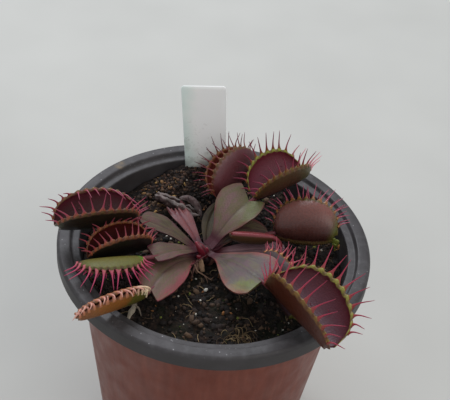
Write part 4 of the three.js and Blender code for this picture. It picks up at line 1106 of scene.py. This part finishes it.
# Each trap's colours, from its midrib to its margin and teeth, some holding painted shade or a painted
# highlight where noted.
# A start colour lies at the neck end of the outside and a flush at its far end.
TRAP = dict(rib="#4a2226", inner="#431823", inner_high="#4a1c28", band="#4c1520", margin="#857242",
            outer_rib="#4d4a2a", outer="#3f3424", outer_high="#4d3f2a", lip="#6f6236", start="#3f3424",
            start_to=-0.5, flush="#3f3424", flush_from=2.0, flush_to=3.0, tooth_root="#a8745a",
            tooth="#9c4050", tooth_tip="#74283a", gloss=(0.34, 0.5), second=None, pale=None)
TRAP_TINTS = {
    # The outside of this trap's lower lobe is its own dark olive brown, painted darker still as shade.
    "upper_left": dict(
        inner="#391016", inner_high="#40161c", margin="#7c5c3c", outer="#1d160f", outer_high="#241a10",
        outer_rib="#20200f", lip="#5c4428", flush="#3c3c1c", flush_from=0.85, flush_to=1.0,
        tooth_root="#94543c", tooth="#a04258", tooth_tip="#8a3850"),
    # The outside of this trap's lower lobe is its own dark brown, painted near black as shade.
    "mid_left": dict(
        inner="#320e10", inner_high="#3c1412", band="#42120f", margin="#84512f", outer="#0e0a09",
        outer_high="#140d0a", outer_rib="#0c0a08", lip="#7c4a2c", tooth_root="#a45a40", tooth="#94404a",
        tooth_tip="#7a3040"),
    "low_left": dict(
        inner="#3a1018", band="#3a1018", outer="#665a18", outer_high="#5c5a1c", outer_rib="#5c7a1c",
        lip="#5c5424", margin="#5c3428", start="#557c1c", start_to=0.24, gloss=(0.5, 0.65), flush="#3c1c1c",
        flush_from=0.82, flush_to=1.0, tooth_root="#b05a62", tooth="#b84468", tooth_tip="#a83a60"),
    "front_left": dict(
        inner="#6a3020", outer="#7c4c1e", outer_high="#8a5624", outer_rib="#6a4a1c", lip="#8c5c30",
        margin="#8c6440", start="#5c5622", start_to=0.45, flush="#7c4a26", flush_from=0.6, flush_to=0.95,
        tooth_root="#b0704c", tooth="#cc8c7c", tooth_tip="#dcac9c", pale=(0.36, 0.2, "#e0c8a4")),
    "back": dict(
        inner="#843c30", inner_high="#843c30", band="#6c3028", outer="#6c3c40", outer_high="#64343a",
        outer_rib="#4a4034", lip="#5c4426", margin="#8c5a34", start="#5c2a2a", start_to=0.25,
        tooth_root="#7c5430", tooth="#7c3240", tooth_tip="#5c2030", gloss=(0.26, 0.4)),
    "upper_right": dict(
        inner="#5a2030", inner_high="#6c2c3c", band="#5c1c26", margin="#8a9034", outer="#4a2420",
        outer_high="#4c3620", outer_rib="#3c2018", lip="#6c5428", flush="#4f4a24", flush_from=0.55,
        flush_to=0.9, tooth_root="#84582c", tooth="#8c3048", tooth_tip="#70203c",
        pale=(0.72, 0.84, "#e0a0a8")),
    # The outside is painted dark near the midrib and light towards the margin, as shade and a highlight on
    # the dome, and its pale midrib line is a painted highlight on the keel.
    "right": dict(
        outer="#301613", outer_high="#7a4e47", outer_rib="#77603c", lip="#5c5424", margin="#6c6c2c",
        flush="#54541f", flush_from=0.74, flush_to=0.98, tooth_root="#8c5c30", tooth="#a0465c",
        tooth_tip="#984860", gloss=(0.2, 0.34)),
    "front_right": dict(
        inner="#48222f", inner_high="#50202c", band="#48101a", margin="#8a8438", outer="#43190e",
        outer_high="#4b2010", outer_rib="#4a2c20", lip="#7a5a28", tooth_root="#904038", tooth="#a03048",
        tooth_tip="#8c2440", rib="#3c1c22"),
    "under_right": dict(
        outer="#3a2028", outer_high="#382020", outer_rib="#3a2420", lip="#6c5426", gloss=(0.5, 0.65),
        margin="#84602c", flush="#6c6c26", flush_from=0.86, flush_to=0.99, tooth_root="#b47a4c",
        tooth="#a84c5c", tooth_tip="#94404c"),
    "young": dict(
        outer="#701e26", outer_high="#523c1e", outer_rib="#84383e", lip="#6c3428", margin="#7c3038",
        second="#463820", gloss=(0.3, 0.4)),
}

# Each stalk's colours, the young one's lightened as painted light.
BLADE_TINT = dict(base="#57473c", cloud="#5f4c40", patch="#5c5a34", patch_side=0.0, patch_from=0.95,
                  edge="#643440", edge_from=0.78, vein="#3c302c", vein_strength=0.4, foot="#471a26",
                  below="#4c2830", neck="#6a3038", streak="#5c5638")
BLADE_TINTS = {
    "upper_left": dict(base="#4a3e2f", cloud="#5c443e", edge="#54343c", patch="#6a3c42", patch_from=0.82),
    "mid_left": dict(base="#4a3834", cloud="#523e38"),
    "low_left": dict(
        base="#564238", cloud="#6a4848", edge="#602c3c", patch="#5c2430", patch_side=0.35, patch_from=0.98),
    "front_left": dict(
        base="#5f4a3e", cloud="#70504c", edge="#84343e", edge_from=0.45, patch="#6e5444", patch_from=0.8),
    "back": dict(base="#40362a", cloud="#4a3c2c", edge="#3c2424", foot="#4c2830"),
    "upper_right": dict(
        base="#64583f", cloud="#6e5350", patch="#5c6030", patch_side=0.4, patch_from=0.72, edge="#6a3838",
        vein="#42322e"),
    "right": dict(base="#3a1f1c", cloud="#442822", patch="#4a3824", edge="#642c2c", vein="#241614"),
    "front_right": dict(
        base="#483a34", cloud="#60454c", patch="#66702a", patch_side=0.4, patch_from=0.86, edge="#84342e",
        edge_from=0.6, vein="#3e3032"),
    "under_right": dict(base="#4a343c", cloud="#54404a"),
    # This blade lies in shade under the young trap; its pale base and cloud are painted light over its own
    # purple grey.
    "young": dict(
        base="#8a6a70", cloud="#94747a", edge="#6c3c4a", patch="#8a6a6c", foot="#4c1420", neck="#7c3038",
        streak="#7c6068"),
    "withered": dict(
        base="#643238", cloud="#743e40", edge="#4c2a2a", patch="#3a2a2c", patch_from=0.86, vein="#4c2a34",
        vein_strength=0.6, streak="#7a3a34"),
}


# The pieces.

pot_piece(pot_outside(), pot_inside())
label_piece(label_plastic())
peat_body(damp_peat())
for number, each in enumerate(LEAVES):
    name = each.name
    skin = trap_shape(each, number)
    if each.dead:
        dead_flap(skin)
        flesh = dead_tissue()
    else:
        flesh = trap_flesh(name, SimpleNamespace(**{**TRAP, **TRAP_TINTS[name]}))
    skin.piece("trap_skin_" + name, [flesh], "dry_trap" if each.dead else "trap_skin", ["trap_" + name])
    blade = stalk_blade(name, SimpleNamespace(seed=1.7 * number, **{**BLADE_TINT, **BLADE_TINTS[name]}))
    petiole = petiole_shape(each, number)
    petiole.piece("stalk_blade_" + name, [blade], "dry_leaf" if each.dead else "leaf_blade",
                  ["petiole_" + name], sharp=60)
crown_piece(grains_of("rhizome_scales", [(0.2, "#2e1618"), (0.5, "#54282a"), (0.8, "#6f463c")],
                      0.6, 0.8, 0.2))
buds_piece(bud_skin())
remains(grains_of("dry_leaf_bases", [(0.1, "#4a2422"), (0.45, "#6a4c3e"), (0.8, "#9a7a5e")], 0.7, 0.9, 0.25))
husk_piece(grains_of("dry_bract", [(0.35, "#3f332e"), (0.6, "#7c7062"), (0.95, "#b0a692")], 0.8, 0.5, 0.25))
seedling_piece(grains_of("seedling_leaf", [
    (0.1, "#6f7a2c"), (0.5, "#9aa244"), (0.75, "#b89a4c"), (1.0, "#c8864c")], 0.5, 0.6, 0.1))

clod = grains_of("peat_clods", [(0.1, "#0f0b0a"), (0.45, "#231a16"), (0.75, "#3a2c24"), (0.95, "#5f4a38")],
                 0.9, 0.6, 0.3)
scatter("peat_clods_fine", clod, 2600, (0.25, 0.95), 11, (1.0, 0.85, 0.7), 0.32)
scatter("peat_clods_coarse", clod, 420, (0.8, 1.7), 12, (1.0, 0.8, 0.6), 0.3)
perlite = grains_of("expanded_perlite", [(0.1, "#a8a196"), (0.9, "#dcd8cc")], 0.75, 0.4, 0.2)
scatter("perlite", perlite, 80, (0.2, 0.5), 13, (1.0, 0.9, 0.8), 0.25, sink=0.1)
white_crumbs(perlite)
bark = grains_of("bark_chips", [(0.1, "#3f2416"), (0.5, "#6f4426"), (0.9, "#a06a3c")], 0.8, 0.7, 0.3)
scatter("bark_chips_loose", bark, 110, (0.35, 1.0), 14, (1.0, 0.55, 0.3), 0.2, sink=0.05)
straw = grains_of("straw_coloured_chips", [(0.1, "#4a3222"), (0.5, "#74502f"), (0.9, "#a4824c")],
                  0.8, 0.7, 0.3)
scatter("bark_chips_heap", straw, 80, (0.4, 1.0), 15, (1.0, 0.6, 0.45), 0.3, sink=0.1, where=(-19, 27, 4.2))
brown = grains_of("brown_peat_crumb", [(0.1, "#1c1310"), (0.5, "#36261f"), (0.9, "#5c4232")], 0.9, 0.6, 0.3)
scatter("peat_clods_heap", brown, 760, (0.2, 0.8), 18, (1.0, 0.85, 0.75), 0.32, where=(-14, 31, 8.0))
moss = grains_of("cushion_moss", [(0.1, "#2c3a14"), (0.5, "#4f5f22"), (0.9, "#8e9040")], 0.9, 0.3, 0.3)
scatter("moss_tufts", moss, 60, (0.25, 0.7), 16, (1.0, 1.0, 0.8), 0.4, sink=0.3)
scatter("moss_spot", moss, 16, (0.3, 0.75), 17, (1.0, 1.0, 0.8), 0.4, sink=0.1, where=(-9.3, 4.0, 1.0),
        tint=(0.6, 1.0))
fibre = grains_of("dry_sphagnum_fibres", [(0.1, "#3a2c20"), (0.5, "#6a563c"), (0.9, "#a08a64")],
                  0.85, 0.5, 0.1)
strands("peat_fibres", fibre, 90, 21, (2.5, 8.0), (0.07, 0.16))
strands("sphagnum_tangle", fibre, 60, 22, (3.0, 7.0), (0.08, 0.17), where=(11.0, -34.0, 2.0), curl=2.6,
        spread_up=1.6)

# The floor, the lights and the camera.

def area_light(name, place, aim, size, power, colour):
    """A round soft light."""
    lamp = bpy.data.lights.new(name, "AREA")
    lamp.shape, lamp.size, lamp.energy, lamp.color = "DISK", size, power, linear(colour)[:3]
    made = placed(name, lamp)
    made.location = place
    made.rotation_euler = (Vector(aim) - Vector(place)).to_track_quat("-Z", "Y").to_euler()


floor_mesh = bpy.data.meshes.new("tabletop")
floor_mesh.from_pydata([(x, y, -0.0001) for x, y in ((-3, -3), (3, -3), (3, 3), (-3, 3))], [], [(0, 1, 2, 3)])
floor_mesh.materials.append(plain_floor())
floor = placed("tabletop", floor_mesh)

world = bpy.data.worlds.new("soft_room")
bpy.context.scene.world = world
world.use_nodes = True
sky = world.node_tree.nodes["Background"].inputs
sky["Color"].default_value, sky["Strength"].default_value = linear("#e6eaee"), 0.62
area_light("window", (-0.25, 0.55, 0.75), (0, 0, 0.08), 0.55, 5.0, "#f4f7ff")
area_light("room_fill", (0.6, -0.5, 0.9), (0, 0, 0.06), 0.9, 3.0, "#fff6ee")
bpy.context.scene.view_settings.view_transform = "Standard"

camera = bpy.data.cameras.new("photo_view")
camera.sensor_fit, camera.sensor_width, camera.lens = "HORIZONTAL", 36.0, 88.0
camera.clip_start, camera.clip_end = 0.01, 10.0
eye = placed("photo_view", camera)
elevation, roll = math.radians(40.49), math.radians(6.26)
forward = Vector((0, math.cos(elevation), -math.sin(elevation)))
right = Vector((1, 0, 0))
up = right.cross(forward)
right, up = (math.cos(roll) * right + math.sin(roll) * up, -math.sin(roll) * right + math.cos(roll) * up)
turn = Matrix((right, up, -forward)).transposed()
eye.matrix_world = Matrix.Translation(Vector((1.78, -258.51, 321.64)) * MM) @ turn.to_4x4()
bpy.context.scene.camera = eye
